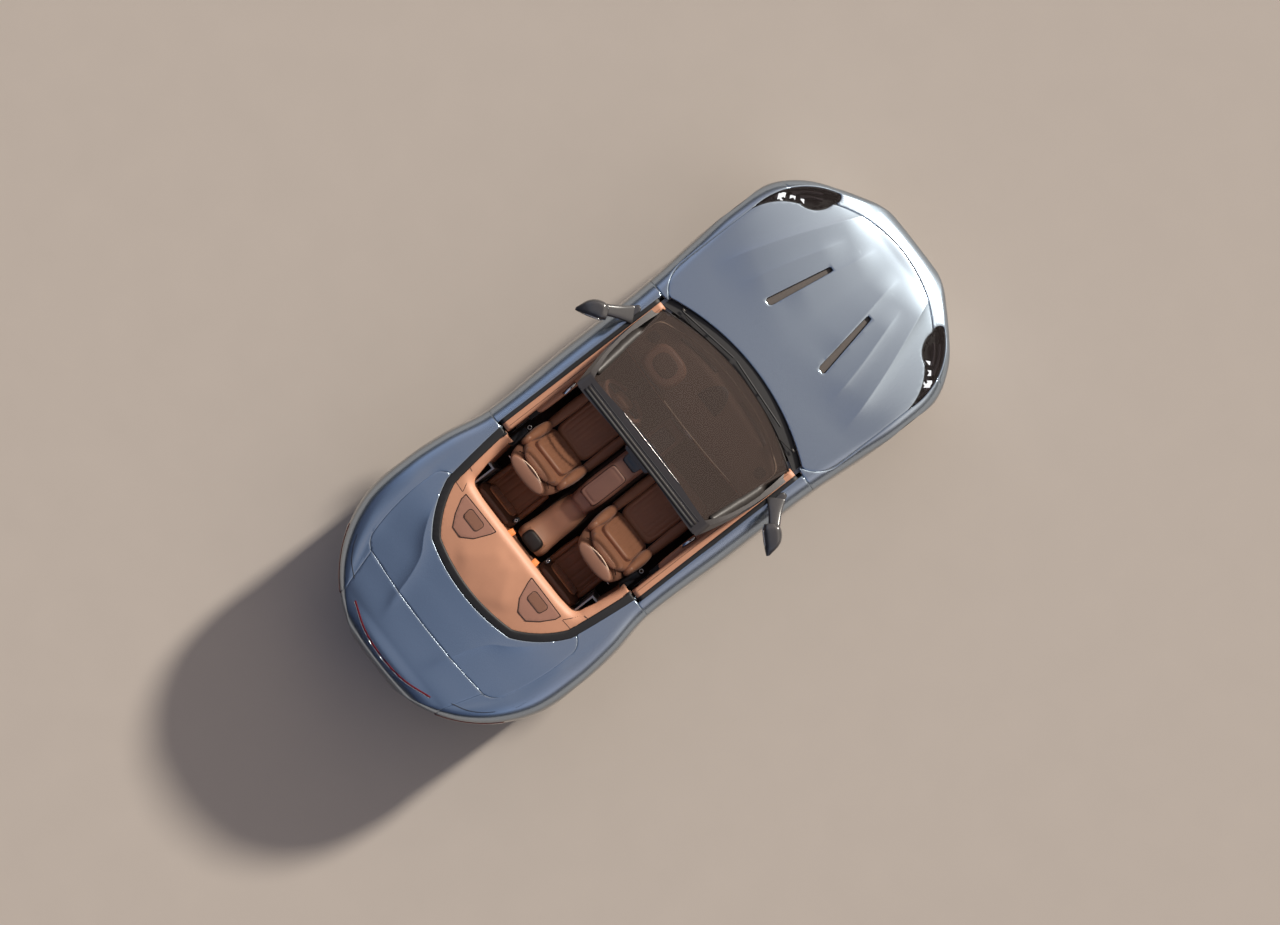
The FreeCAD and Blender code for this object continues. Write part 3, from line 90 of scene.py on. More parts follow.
class Side(Enum):
    """The two sides of the car."""

    LEFT = 1
    RIGHT = -1

    @property
    def word(self) -> str:
        """The side's name as it is used in piece names."""
        return self.name.lower()


# Materials

BUILT: dict[str, bpy.types.Material] = {}
COAT_ROUGHNESS = 0.04
IOR = 1.5
GLOSS_SWING = 0.05
RELIEF_DEPTH = 0.001


@dataclass(frozen=True)
class Finish:
    """One surface finish, made as a procedural node material.

    Args:
        name: The material's name.
        color: Base colour, linear RGB.
        metallic: How metallic it is, 0 to 1.
        roughness: Mean roughness.
        coat: Weight of a clear coat over it.
        vary: How far the colour wanders, as a share.
        grain: Scale of the noise that moves colour and roughness.
        bump: Strength of the fine relief.
        bump_scale: Scale of the fine relief.
        alpha: Opacity.
        emission: Strength of its own light.
        sheen: Weight of a soft sheen, for cloth.
        specular: Level of its mirror reflection.
        edge: Tint of its reflection at a grazing angle.
    """

    name: str
    color: tuple[float, float, float]
    metallic: float = 0.0
    roughness: float = 0.5
    coat: float = 0.0
    vary: float = 0.08
    grain: float = 6.0
    bump: float = 0.0
    bump_scale: float = 900.0
    alpha: float = 1.0
    emission: float = 0.0
    sheen: float = 0.0
    specular: float = 0.5
    edge: tuple[float, float, float] = (1.0, 1.0, 1.0)

    def build(self) -> bpy.types.Material:
        """Makes the material once and gives it back after that.

        Returns:
            The Blender material.
        """
        if self.name in BUILT:
            return BUILT[self.name]
        mat = BUILT[self.name] = bpy.data.materials.new(self.name + "_finish")
        mat.use_nodes = True
        nodes, links = mat.node_tree.nodes, mat.node_tree.links
        shader = nodes["Principled BSDF"]
        plain = {
            "Metallic": self.metallic, "Coat Weight": self.coat, "Coat Roughness": COAT_ROUGHNESS, "Alpha": self.alpha,
            "Sheen Weight": self.sheen, "IOR": IOR, "Specular IOR Level": self.specular,
            "Specular Tint": (*self.edge, 1.0)}
        if self.emission:
            plain |= {"Emission Color": (*self.color, 1.0), "Emission Strength": self.emission}
        for socket, value in plain.items():
            shader.inputs[socket].default_value = value
        where = nodes.new("ShaderNodeTexCoord")
        noise = nodes.new("ShaderNodeTexNoise")
        noise.inputs["Scale"].default_value = self.grain
        noise.inputs["Detail"].default_value = 6.0
        links.new(where.outputs["Object"], noise.inputs["Vector"])
        ramp = nodes.new("ShaderNodeMix")
        ramp.data_type = "RGBA"
        ramp.inputs["A"].default_value = [c * (1 - self.vary) for c in self.color] + [1.0]
        ramp.inputs["B"].default_value = [min(1.0, c * (1 + self.vary)) for c in self.color] + [1.0]
        links.new(noise.outputs["Fac"], ramp.inputs["Factor"])
        links.new(ramp.outputs["Result"], shader.inputs["Base Color"])
        rough = nodes.new("ShaderNodeMapRange")
        rough.inputs["To Min"].default_value = max(0.0, self.roughness - GLOSS_SWING)
        rough.inputs["To Max"].default_value = min(1.0, self.roughness + GLOSS_SWING)
        links.new(noise.outputs["Fac"], rough.inputs["Value"])
        links.new(rough.outputs["Result"], shader.inputs["Roughness"])
        if self.bump:
            fine = nodes.new("ShaderNodeTexNoise")
            fine.inputs["Scale"].default_value = self.bump_scale
            fine.inputs["Detail"].default_value = 4.0
            links.new(where.outputs["Object"], fine.inputs["Vector"])
            relief = nodes.new("ShaderNodeBump")
            relief.inputs["Strength"].default_value = self.bump
            relief.inputs["Distance"].default_value = RELIEF_DEPTH
            links.new(fine.outputs["Fac"], relief.inputs["Height"])
            links.new(relief.outputs["Normal"], shader.inputs["Normal"])
        return mat


PAINT = Finish(
    "body_paint", (0.43, 0.53, 0.64), metallic=0.92, roughness=0.27, coat=1.0, vary=0.05, grain=1400.0,
    edge=(0.1, 0.09, 0.08))
TAN = Finish("tan_leather", (0.56, 0.275, 0.165), vary=0.07, grain=9.0, bump=0.35, bump_scale=700.0)
BROWN = Finish(
    "brown_leather", (0.37, 0.16, 0.082), roughness=0.46, vary=0.14, grain=9.0, bump=0.4, bump_scale=700.0, sheen=0.15)
# Brown leather painted much darker for the shadow that falls on the rear seats' backs: painted shade.
SHADED_REAR_BACK = Finish("deep_brown_leather", (0.075, 0.03, 0.017), roughness=0.55, vary=0.12, grain=9.0, bump=0.5)
LILAC = Finish("console_leather", (0.36, 0.18, 0.125), roughness=0.45, grain=9.0, bump=0.3, bump_scale=700.0)
PIPING = Finish("piping", (0.7, 0.5, 0.36), roughness=0.4, vary=0.05, grain=40.0, bump=0.3)
SEAM = Finish("seam_thread", (0.04, 0.02, 0.014), roughness=0.8, vary=0.2, grain=200.0, bump=0.6, bump_scale=1500.0)
ORANGE = Finish("belt_orange", (0.72, 0.2, 0.035), roughness=0.6, bump=0.5, bump_scale=1200.0)
DEEP_BROWN = Finish("rear_leather", (0.3, 0.1, 0.035), vary=0.12, grain=9.0, bump=0.4, bump_scale=700.0, sheen=0.1)
PANEL = Finish("seat_panel", (0.24, 0.115, 0.072), roughness=0.45, grain=14.0, bump=0.4)
DASH = Finish("dash_leather", (0.12, 0.066, 0.046), roughness=0.55, vary=0.1, grain=9.0, bump=0.4, bump_scale=700.0)
BLACK_SOFT = Finish("soft_black", (0.034, 0.03, 0.027), roughness=0.45, vary=0.1, grain=40.0, bump=0.3)
CHARCOAL_GLOSS = Finish("charcoal_gloss", (0.055, 0.054, 0.056), roughness=0.24, coat=0.8, vary=0.12, grain=60.0)
LAMP_FIN = Finish("lamp_fin", (0.105, 0.09, 0.1), metallic=0.5, roughness=0.3, vary=0.15, grain=60.0)
CHARCOAL = Finish("charcoal_trim", (0.04, 0.036, 0.036), roughness=0.38, coat=0.4, vary=0.12, grain=30.0, bump=0.15)
BLACK_GLOSS = Finish("dark_gloss", (0.028, 0.03, 0.033), roughness=0.2, coat=1.0, vary=0.25, grain=160.0)
BLACK = Finish("dark_plastic", (0.016, 0.016, 0.017), roughness=0.55, bump=0.3)
RUBBER = Finish("seal_rubber", (0.012, 0.012, 0.013), roughness=0.6, bump=0.2)
CARPET = Finish("carpet", (0.04, 0.022, 0.014), roughness=0.95, vary=0.3, grain=60.0, bump=1.0, sheen=0.4)
ALUMINIUM = Finish("frame_metal", (0.42, 0.43, 0.44), metallic=0.9, roughness=0.42, vary=0.08, grain=14.0)
CAST = Finish(
    "cast_metal", (0.22, 0.22, 0.22), metallic=0.8, roughness=0.6, vary=0.15, grain=30.0, bump=0.6, bump_scale=400.0)
ENGINE = Finish(
    "engine_metal", (0.3, 0.3, 0.3), metallic=0.8, roughness=0.55, vary=0.15, grain=18.0, bump=0.4, bump_scale=400.0)
STEEL = Finish("steel", (0.5, 0.49, 0.47), metallic=1.0, roughness=0.3, vary=0.08, grain=12.0)
CHROME = Finish("bright_trim", (0.75, 0.76, 0.78), metallic=1.0, roughness=0.12, vary=0.03)
RIM = Finish("rim_metal", (0.2, 0.21, 0.225), metallic=0.9, roughness=0.28, coat=0.6, vary=0.05, grain=25.0)
TYRE = Finish("tyre_rubber", (0.016, 0.016, 0.017), roughness=0.78, vary=0.2, grain=30.0, bump=0.5, bump_scale=500.0)
GLASS = Finish("screen_glass", (0.07, 0.052, 0.045), roughness=0.05, alpha=0.44, vary=0.03, specular=0.25)
LENS = Finish("lamp_glass", (0.03, 0.024, 0.023), roughness=0.05, alpha=0.36, vary=0.02, specular=0.08)
RED = Finish("lamp_red", (0.16, 0.004, 0.005), roughness=0.12, coat=1.0, vary=0.1, grain=40.0)
LIGHT_BAR = Finish("light_bar", (0.95, 0.97, 1.0), roughness=0.3, emission=2.2, vary=0.02)
VENT_MESH = Finish("vent_mesh", (0.095, 0.08, 0.07), roughness=0.55, vary=0.15, grain=60.0, bump=0.8, bump_scale=300.0)
VANE = Finish("dark_metal", (0.1, 0.105, 0.11), metallic=0.9, roughness=0.3, vary=0.1, grain=30.0)
FLOOR = Finish("studio_floor", (0.5, 0.445, 0.39), roughness=0.9, vary=0.03, grain=3.0)

# The finish of each material slot of the CAD, by the slot's name.
SLOT_FINISH = {finish.name: finish for finish in (
    PAINT, TAN, BROWN, BLACK_GLOSS, BLACK, RUBBER, LENS, RED, VANE, STEEL, ALUMINIUM, CAST, ENGINE, CARPET, GLASS, RIM,
    TYRE)}
NODE_FINISH = {"windscreen_frame": CHARCOAL, "interior_mirror": CHARCOAL_GLOSS, "wipers": BLACK}


# Making and placing meshes


def linked(name: str, data: bpy.types.ID) -> Piece:
    """A new object in the scene that shows some data."""
    obj = bpy.data.objects.new(name, data)
    bpy.context.scene.collection.objects.link(obj)
    return obj


def seat(piece: Piece, body: str, node: str = "") -> None:
    """Puts a piece on its body, lets it stand for a CAD node if it is given one, and reports it with its body.

    Args:
        piece: The piece.
        body: The body it rides on.
        node: The CAD node it stands for.
    """
    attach(piece, body)
    if node:
        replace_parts(piece, node)
    log.info("%s rides on %s", piece.name, body)


def thickened(obj: Piece, thick: float, offset: float = -1) -> Piece:
    """The same object, whose faces get a thickness."""
    wall = obj.modifiers.new("thickness", "SOLIDIFY")
    wall.thickness, wall.offset = thick, offset
    return obj


def make_mesh(
    name: str, points: np.ndarray, faces: Iterable[Sequence[int]], finish: Finish, smooth: bool = True
) -> Piece:
    """Makes a mesh object in the scene.

    Args:
        name: The object's name.
        points: Corners, one row each.
        faces: Corner numbers of each face.
        finish: Its finish.
        smooth: Whether its faces are shaded smooth.

    Returns:
        The object.
    """
    mesh = bpy.data.meshes.new(name)
    mesh.from_pydata([tuple(map(float, p)) for p in points], [], [tuple(map(int, f)) for f in faces])
    mesh.validate()
    mesh.polygons.foreach_set("use_smooth", [smooth] * len(mesh.polygons))
    mesh.materials.append(finish.build())
    return linked(name, mesh)


def grid_faces(rows: int, columns: int, wrap: bool = False) -> list[tuple[int, ...]]:
    """Quads of a grid of points stored row by row.

    Args:
        rows: Number of rows.
        columns: Points in each row.
        wrap: Whether each row closes on itself.

    Returns:
        The quads.
    """
    faces = []
    last = columns if wrap else columns - 1
    for r in range(rows - 1):
        for c in range(last):
            n = (c + 1) % columns
            a, b = r * columns, (r + 1) * columns
            faces.append((a + c, a + n, b + n, b + c))
    return faces


def capped(rows: int, columns: int) -> list[tuple[int, ...]]:
    """Faces of a closed bar of points stored ring by ring, with one face over each end."""
    last = (rows - 1) * columns
    return [*grid_faces(rows, columns, wrap=True), tuple(range(columns))[::-1], tuple(range(last, last + columns))]


def join(name: str, parts: Sequence[Piece]) -> Piece:
    """Joins several mesh objects into one, with their modifiers applied.

    Args:
        name: Name of the result.
        parts: The objects, which are used up.

    Returns:
        The joined object.
    """
    deps = bpy.context.evaluated_depsgraph_get()
    deps.update()
    whole = bmesh.new()
    materials: list[bpy.types.Material] = []
    for part in parts:
        mesh = bpy.data.meshes.new_from_object(part.evaluated_get(deps))
        mesh.transform(part.matrix_world)
        slots = []
        for mat in mesh.materials:
            if mat not in materials:
                materials.append(mat)
            slots.append(materials.index(mat))
        before = len(whole.faces)
        whole.from_mesh(mesh)
        whole.faces.ensure_lookup_table()
        for face in whole.faces[before:]:
            face.material_index = slots[face.material_index] if slots else 0
        bpy.data.meshes.remove(mesh)
        bpy.data.objects.remove(part)
    mesh = bpy.data.meshes.new(name)
    whole.to_mesh(mesh)
    whole.free()
    for mat in materials:
        mesh.materials.append(mat)
    return linked(name, mesh)


# Faces of a box whose corners run over X first, then Y, then Z.
BOX_FACES = ((0, 2, 3, 1), (4, 5, 7, 6), (0, 1, 5, 4), (2, 6, 7, 3), (0, 4, 6, 2), (1, 3, 7, 5))


def bevelled(obj: Piece, width: float, segments: int = 2) -> Piece:
    """Rounds an object's sharp edges.

    Args:
        obj: The object.
        width: Width of the rounding.
        segments: Faces across it.

    Returns:
        The same object.
    """
    mod = obj.modifiers.new("round", "BEVEL")
    mod.width = width
    mod.segments = segments
    mod.limit_method = "ANGLE"
    mod.angle_limit = math.radians(35)
    mod.harden_normals = True
    return obj


def tube(name: str, route: Sequence[Point], radius: float, finish: Finish, sides: int = 12, flat: float = 1.0) -> Piece:
    """A round bar along a route of points.

    Args:
        name: Object name.
        route: Points along its middle.
        radius: Its radius.
        finish: Its finish.
        sides: Faces around it.
        flat: Its height as a share of its width.

    Returns:
        The object.
    """
    middle = [Vector(p) for p in route]
    points, count = [], len(middle)
    for i, p in enumerate(middle):
        along = (middle[min(i + 1, count - 1)] - middle[max(i - 1, 0)]).normalized()
        side = along.cross(Vector((0, 0, 1)) if abs(along.z) < 0.9 else Vector((0, 1, 0))).normalized()
        up = side.cross(along)
        for k in range(sides):
            a = 2 * math.pi * k / sides
            points.append(p + (side * math.cos(a) + up * math.sin(a) * flat) * radius)
    return make_mesh(name, np.array(points), capped(count, sides), finish)


def pillow(
    name: str, centre: Point, size: Point, finish: Finish, turn: Point = (0, 0, 0), square: float = 3.2, cells: int = 14
) -> Piece:
    """A stuffed pad: a box swollen towards a ball, with soft edges.

    Args:
        name: Object name.
        centre: Its middle.
        size: Full width, depth and height.
        finish: Its finish.
        turn: Turns about X, Y and Z in degrees.
        square: How square it is; 2 is a ball.
        cells: Faces along each edge.

    Returns:
        The object.
    """
    mesh = bmesh.new()
    bmesh.ops.create_cube(mesh, size=2.0)
    bmesh.ops.subdivide_edges(mesh, edges=mesh.edges[:], cuts=cells - 1, use_grid_fill=True)
    place = placed(centre, turn)
    for v in mesh.verts:
        share = sum(abs(c) ** square for c in v.co) ** (1 / square)
        v.co = place @ Vector([c * full / 2 for c, full in zip(v.co / share, size)])
    data = bpy.data.meshes.new(name)
    mesh.to_mesh(data)
    mesh.free()
    data.polygons.foreach_set("use_smooth", [True] * len(data.polygons))
    data.materials.append(finish.build())
    return linked(name, data)


def stack(
    name: str, rows: Sequence[Point], finish: Finish, square: float = 3.4, dome: tuple[float, float] = (0.006, 0.02),
    sides: int = 56, steps: int = 30, place: Matrix | None = None
) -> Piece:
    """A closed stuffed form drawn through rounded rings, one over the other.

    Args:
        name: Object name.
        rows: Height, half width, half depth and middle along Y of each ring, rising.
        finish: Its finish.
        square: How square the rings are; 2 is round.
        dome: How far the lowest and the highest end bulge.
        sides: Points around each ring.
        steps: Rings drawn between the ends.
        place: Where the form goes, or None for where it is drawn.

    Returns:
        The object.
    """
    table = np.array(rows, float)
    at = np.linspace(table[0, 0], table[-1, 0], steps)
    fine = np.stack([spline(table[:, 0], table[:, c], at) for c in range(4)], axis=1)
    rings = []
    turns = np.linspace(0, math.pi / 2, 8)[1:]
    for t in turns[::-1]:
        low = fine[0].copy()
        low[0] -= dome[0] * math.sin(t)
        low[1:3] *= max(math.cos(t), 0.02)
        rings.append(low)
    rings += list(fine)
    for t in turns:
        high = fine[-1].copy()
        high[0] += dome[1] * math.sin(t)
        high[1:3] *= max(math.cos(t), 0.02)
        rings.append(high)
    angle = np.linspace(0, 2 * math.pi, sides, endpoint=False)
    c, d = np.cos(angle), np.sin(angle)
    across, along = np.sign(c) * np.abs(c) ** (2 / square), np.sign(d) * np.abs(d) ** (2 / square)
    points = np.array([(hx * a, y + hy * b, z) for z, hx, hy, y in rings for a, b in zip(across, along)])
    obj = make_mesh(name, points, capped(len(rings), sides), finish)
    if place is not None:
        obj.data.transform(place)
    return obj


def crowned(
    name: str, half: tuple[float, float], thick: float, finish: Finish, place: Matrix, square: float = 5.0,
    crown: float = 0.018, edge: float = 0.024, channels: int = 0, groove: float = 0.0035, seam: float = 0.03,
    cells: int = 64
) -> Piece:
    """A cushion: a crowned closed form with a sewn seam inside its edge, sides that pull in and a flat base.

    Args:
        name: Object name.
        half: Half its width and depth.
        thick: Its height at the edge.
        finish: Its finish.
        place: Where it goes.
        square: How square its corners are.
        crown: How much higher its middle is.
        edge: Radius of its rolled edge.
        channels: Number of sewn flutes along its depth.
        groove: Depth of the sewn lines.
        seam: How far inside the edge the seam runs.
        cells: Faces along each edge.

    Returns:
        The object.
    """
    hx, hy = half
    t = np.linspace(-1, 1, cells + 1)
    u = t * (1.25 - 0.25 * t * t)
    gx, gy = np.meshgrid(u, u)
    far = np.maximum(np.abs(gx), np.abs(gy))
    share = far / np.maximum((np.abs(gx) ** square + np.abs(gy) ** square) ** (1 / square), 1e-9)
    x, y = hx * gx * share, hy * gy * share
    depth = (1 - far) * min(hx, hy)
    roll = edge - np.sqrt(np.maximum(edge**2 - (edge - np.minimum(depth, edge)) ** 2, 0))
    z = thick - roll + crown * (1 - (x / hx) ** 2) * (1 - (y / hy) ** 2)
    z -= groove * np.exp(-(((depth - seam) / 0.004) ** 2))
    if channels:
        wave = 1 - np.abs(np.sin(math.pi * channels * (x / hx + 1) / 2))
        z -= groove * 1.3 * wave**3 * np.clip((depth - seam) / 0.01, 0, 1)
    points = list(np.column_stack([x.ravel(), y.ravel(), z.ravel()]))
    count = cells + 1
    faces = grid_faces(count, count)
    loop = list(range(count)) + [r * count + cells for r in range(1, count)]
    loop += [cells * count + c for c in range(cells - 1, -1, -1)] + [r * count for r in range(cells - 1, 0, -1)]
    above = loop
    for k in range(1, 7):
        down = k / 6
        inset = 0.006 * math.sin(math.pi * down) + 0.004 * max(0.0, down * 6 - 5)
        row = []
        for i in loop:
            q = points[i]
            shrink = 1 - inset / max(math.hypot(q[0], q[1]), 1e-6)
            row.append(len(points))
            points.append(np.array((q[0] * shrink, q[1] * shrink, (thick - edge) * (1 - down))))
        n = len(loop)
        faces += [(above[j], row[j], row[(j + 1) % n], above[(j + 1) % n]) for j in range(n)]
        above = row
    faces.append(tuple(above[::-1]))
    obj = make_mesh(name, np.array(points), faces, finish)
    obj.data.transform(place)
    return obj


def placed(where: Point, turn: Point = (0, 0, 0)) -> Matrix:
    """A place: turned about X, then Y, then Z in degrees, and moved."""
    x, y, z = (math.radians(a) for a in turn)
    return Matrix.Translation(where) @ Matrix.Rotation(
        z, 4, "Z") @ Matrix.Rotation(y, 4, "Y") @ Matrix.Rotation(x, 4, "X")


def ring_points(centre: Point, radius: float, count: int = 16, flat: bool = False) -> list[Point]:
    """Points round a small ring, level if flat and upright if not."""
    out = []
    for k in range(count + 1):
        a = 2 * math.pi * k / count
        up = 0.0 if flat else radius * math.sin(a)
        along = radius * math.sin(a) if flat else 0.0
        out.append((centre[0] + radius * math.cos(a), centre[1] + along, centre[2] + up))
    return out


class Surface:
    """The top side of a CAD node, to lay details on."""

    def __init__(self, node: str) -> None:
        """Reads the node's mesh."""
        mesh = frame["nodes"][node].data
        self.tree = BVHTree.FromPolygons([v.co for v in mesh.vertices], [p.vertices for p in mesh.polygons])

    def top(self, x: float, y: float, default: float = 0.9) -> float:
        """Height of the highest face over a plan point, or the default where there is none."""
        hit = self.tree.ray_cast(Vector((x, y, 2.0)), Vector((0, 0, -1)))[0]
        return default if hit is None else hit.z

    def drape(self, flat: Iterable[Point], lift: float, least: float) -> list[Point]:
        """Plan points laid on the surface, but for those that land lower than least."""
        laid = [(x, y, self.top(x, y) + lift) for x, y in flat]
        return [p for p in laid if p[2] > least]


def mirror_copy(obj: Piece, name: str) -> Piece:
    """A mirror image of a mesh object across the car's middle.

    Args:
        obj: The object.
        name: The copy's name.

    Returns:
        The copy.
    """
    mesh = obj.data.copy()
    mesh.transform(Matrix.Scale(-1, 4, (1, 0, 0)))
    mesh.flip_normals()
    copy = linked(name, mesh)
    for mod in obj.modifiers:
        if mod.type == "SOLIDIFY":
            thickened(copy, mod.thickness, mod.offset)
        if mod.type == "BEVEL":
            bevelled(copy, mod.width, mod.segments)
    return copy


# Plan outlines and signed distances


def arc_points(start: Point, middle: Point, end: Point, count: int = 14) -> list[Point]:
    """Points along the arc through three plan points, without the first one.

    Args:
        start: Where it starts.
        middle: A point it passes.
        end: Where it ends.
        count: How many points.

    Returns:
        The points.
    """
    (ax, ay), (bx, by), (cx, cy) = start, middle, end
    d = 2 * (ax * (by - cy) + bx * (cy - ay) + cx * (ay - by))
    if abs(d) < 1e-9:
        return [end]
    a2, b2, c2 = ax * ax + ay * ay, bx * bx + by * by, cx * cx + cy * cy
    ux = (a2 * (by - cy) + b2 * (cy - ay) + c2 * (ay - by)) / d
    uy = (a2 * (cx - bx) + b2 * (ax - cx) + c2 * (bx - ax)) / d
    radius = math.hypot(ax - ux, ay - uy)
    a0, am, a1 = (math.atan2(p[1] - uy, p[0] - ux) for p in (start, middle, end))
    full = 2 * math.pi
    span = (a1 - a0) % full
    if (am - a0) % full > span:
        span -= full
    return [(ux + radius * math.cos(a0 + span * i / count), uy + radius * math.sin(a0 + span * i / count))
            for i in range(1, count + 1)]


def outline(points: Sequence[Point]) -> np.ndarray:
    """A closed plan outline: a pair is a straight run to a point, four numbers are an arc through the first two.

    Args:
        points: The runs.

    Returns:
        The outline's corners.
    """
    out = [points[0][-2:]]
    for p in points[1:]:
        if len(p) == 4:
            out += arc_points(out[-1], p[:2], p[2:])
        elif math.dist(out[-1], p) > 1e-6:
            out.append(tuple(p))
    if math.dist(out[0], out[-1]) < 1e-6:
        out.pop()
    return np.array(out)


def bow(y: float, end: Point) -> Point:
    """An arc from (0, y) to end that crosses the middle squarely, as a run of four numbers."""
    x1, y1 = end
    radius = (x1 * x1 + (y1 - y) ** 2) / (2 * (y1 - y))
    half = math.asin(x1 / radius) / 2
    return (radius * math.sin(half), y + radius * (1 - math.cos(half)), x1, y1)


def symmetric(half: Sequence[Point]) -> np.ndarray:
    """A closed outline from its left half, which starts and ends on the middle."""
    points = list(half)
    for i in range(len(half) - 1, 0, -1):
        back = half[i - 1]
        if len(half[i]) == 4:
            points.append((-half[i][0], half[i][1], -back[-2], back[-1]))
        else:
            points.append((-back[-2], back[-1]))
    return outline(points)


def inside(corners: np.ndarray, pts: np.ndarray) -> np.ndarray:
    """Signed distance from flat points to a closed outline, positive inside.

    Args:
        corners: The outline.
        pts: Flat points, one row each.

    Returns:
        The distances.
    """
    a, b = corners, np.roll(corners, -1, axis=0)
    best = np.full(len(pts), 1e9)
    within = np.zeros(len(pts), bool)
    for p, q in zip(a, b):
        e = q - p
        w = pts - p
        t = np.clip((w @ e) / max(float(e @ e), 1e-12), 0, 1)
        best = np.minimum(best, np.hypot(*(w - t[:, None] * e).T))
        crosses = (p[1] > pts[:, 1]) != (q[1] > pts[:, 1])
        slope = e[0] / e[1] if abs(e[1]) > 1e-12 else 0.0
        within ^= crosses & (pts[:, 0] < p[0] + (pts[:, 1] - p[1]) * slope)
    return np.where(within, best, -best)


def within_plan(corners: np.ndarray, grow: float = 0.0) -> Field:
    """A field that is positive over a plan outline, moved outwards by grow."""
    return lambda p: inside(corners, p[:, :2]) + grow


def both(*fields: Field) -> Field:
    """Positive where every field is."""
    return lambda p: np.min([f(p) for f in fields], axis=0)


def either(*fields: Field) -> Field:
    """Positive where any field is."""
    return lambda p: np.max([f(p) for f in fields], axis=0)


def outside(f: Field, gap: float = 0.0) -> Field:
    """Positive where a field is negative by more than gap."""
    return lambda p: -f(p) - gap


def beyond(axis: int, value: float, sign: int = 1) -> Field:
    """Positive past a value along one axis."""
    return lambda p: (p[:, axis] - value) * sign


def wheel_arch(y: float) -> Field:
    """Positive inside the arch round an axle, whose ends run straight down."""
    return lambda p: ARCH_RADIUS - np.hypot(p[:, 1] - y, np.maximum(p[:, 2] - AXLE_Z, 0.0))


# The body's upper side, as a field: all that is higher than the sills and the mouth.
UPPER = beyond(2, 0.5)
COWL_CORNER = (0.735, DOOR_FRONT - 0.026)
CABIN_NOSE = FRONT_AXLE + 0.5675
CABIN_TAIL = REAR_AXLE + 0.2455
SCREEN_SIDE = (0.868, FRONT_AXLE - 0.097)
LAMP_MIDDLE = (0.7, FRONT_AXLE - 0.377)
LAMP_FRONT = (0.555, FRONT_AXLE - 0.567)
BONNET_NOSE = NOSE + 0.124
TONNEAU_CORNER = (0.612, TAIL - 0.494)


def bow_back(start: Point, y: float) -> Point:
    """The run from start to (0, y) as an arc that crosses the middle squarely."""
    mid = bow(y, start)
    return (mid[0], mid[1], 0.0, y)


CABIN = symmetric((
    (0, CABIN_NOSE), bow(CABIN_NOSE, COWL_CORNER), (0.765, DOOR_FRONT + 0.217), (0.773, DOOR_FRONT + 0.76),
    (0.748, DOOR_REAR - 0.09, 0.682, REAR_AXLE - 0.15), (0.595, REAR_AXLE + 0.004, 0.42, REAR_AXLE + 0.182),
    bow_back((0.42, REAR_AXLE + 0.182), CABIN_TAIL),
))
BONNET = symmetric((
    (0, CABIN_NOSE), bow(CABIN_NOSE, COWL_CORNER), (0.82, DOOR_FRONT - 0.1, 0.866, DOOR_FRONT - 0.24), SCREEN_SIDE,
    (0.805, FRONT_AXLE - 0.265) + LAMP_MIDDLE, (0.59, FRONT_AXLE - 0.445) + LAMP_FRONT,
    bow_back(LAMP_FRONT, BONNET_NOSE)))
HEADLAMP = outline((
    SCREEN_SIDE, (0.805, FRONT_AXLE - 0.265) + LAMP_MIDDLE, (0.59, FRONT_AXLE - 0.445) + LAMP_FRONT,
    (0.545, FRONT_AXLE - 0.62, 0.578, FRONT_AXLE - 0.655), (0.792, FRONT_AXLE - 0.455) + SCREEN_SIDE,
))
TONNEAU = symmetric((
    (0, REAR_AXLE - 0.194), (0.65, REAR_AXLE - 0.194), (0.74, REAR_AXLE - 0.15, 0.766, REAR_AXLE - 0.05),
    (0.758, REAR_AXLE + 0.19, 0.706, REAR_AXLE + 0.458), (0.672, REAR_AXLE + 0.52) + TONNEAU_CORNER,
    bow_back(TONNEAU_CORNER, TAIL - 0.466),
))
BOOT = symmetric((
    (0, TAIL - 0.466), bow(TAIL - 0.466, TONNEAU_CORNER), (0.524, TAIL - 0.2), (0.524, TAIL + 0.1), (0, TAIL + 0.1),
))
MOUTH = np.array((
    (-0.33, 0.27), (0.33, 0.27), (0.415, 0.33), (0.43, 0.45), (0.38, 0.545), (-0.38, 0.545), (-0.43, 0.45),
    (-0.415, 0.33)))
VENT = outline((
    (0.26, FRONT_AXLE + 0.207), (0.292, FRONT_AXLE + 0.228, 0.325, FRONT_AXLE + 0.211), (0.232, FRONT_AXLE - 0.264),
    (0.211, FRONT_AXLE - 0.28, 0.191, FRONT_AXLE - 0.267),
))

# Soft ridges pressed into the bonnet and the tail: plan points along each, its height and how wide it fades.
BONNET_CREASES = (
    (((0.3, -2.33), (0.44, -1.975), (0.56, -1.66), (0.66, -1.341), (0.72, -1.1)), 0.017, (0.3, 0.055)),
    (((0.294, -1.99), (0.36, -1.76), (0.428, -1.525), (0.51, -1.158)), 0.007, (0.1, 0.03)),
    (((0.123, -2.11), (0.15, -1.92), (0.184, -1.73), (0.252, -1.341)), 0.007, (0.1, 0.03)),
)
TAIL_CREASE = (
    ((0.64, 1.262), (0.56, 1.4), (0.47, 1.522), (0.385, 1.61), (0.33, 1.72), (0.283, 1.872), (0.202, 2.12)), 0.007, 0.04
)
HAUNCH_CREASE = (((0.775, 1.19), (0.8, 1.33), (0.775, 1.56), (0.715, 1.76), (0.64, 1.9)), 0.006, 0.04)
SPEAKER_POD = (
    (0.52, 1.128), (0.36, 1.124), (0.195, 1.122), (0.205, 1.16), (0.252, 1.27), (0.32, 1.338), (0.4, 1.334),
    (0.462, 1.262), (0.514, 1.17))
SPOILER_LINE = ((-0.414, 2.166), (-0.21, 2.236), (0.0, 2.256), (0.21, 2.236), (0.414, 2.166))
LAMP_EDGE = ((0.535, 2.08), (0.64, 2.02), (0.72, 1.94), (0.76, 1.88))
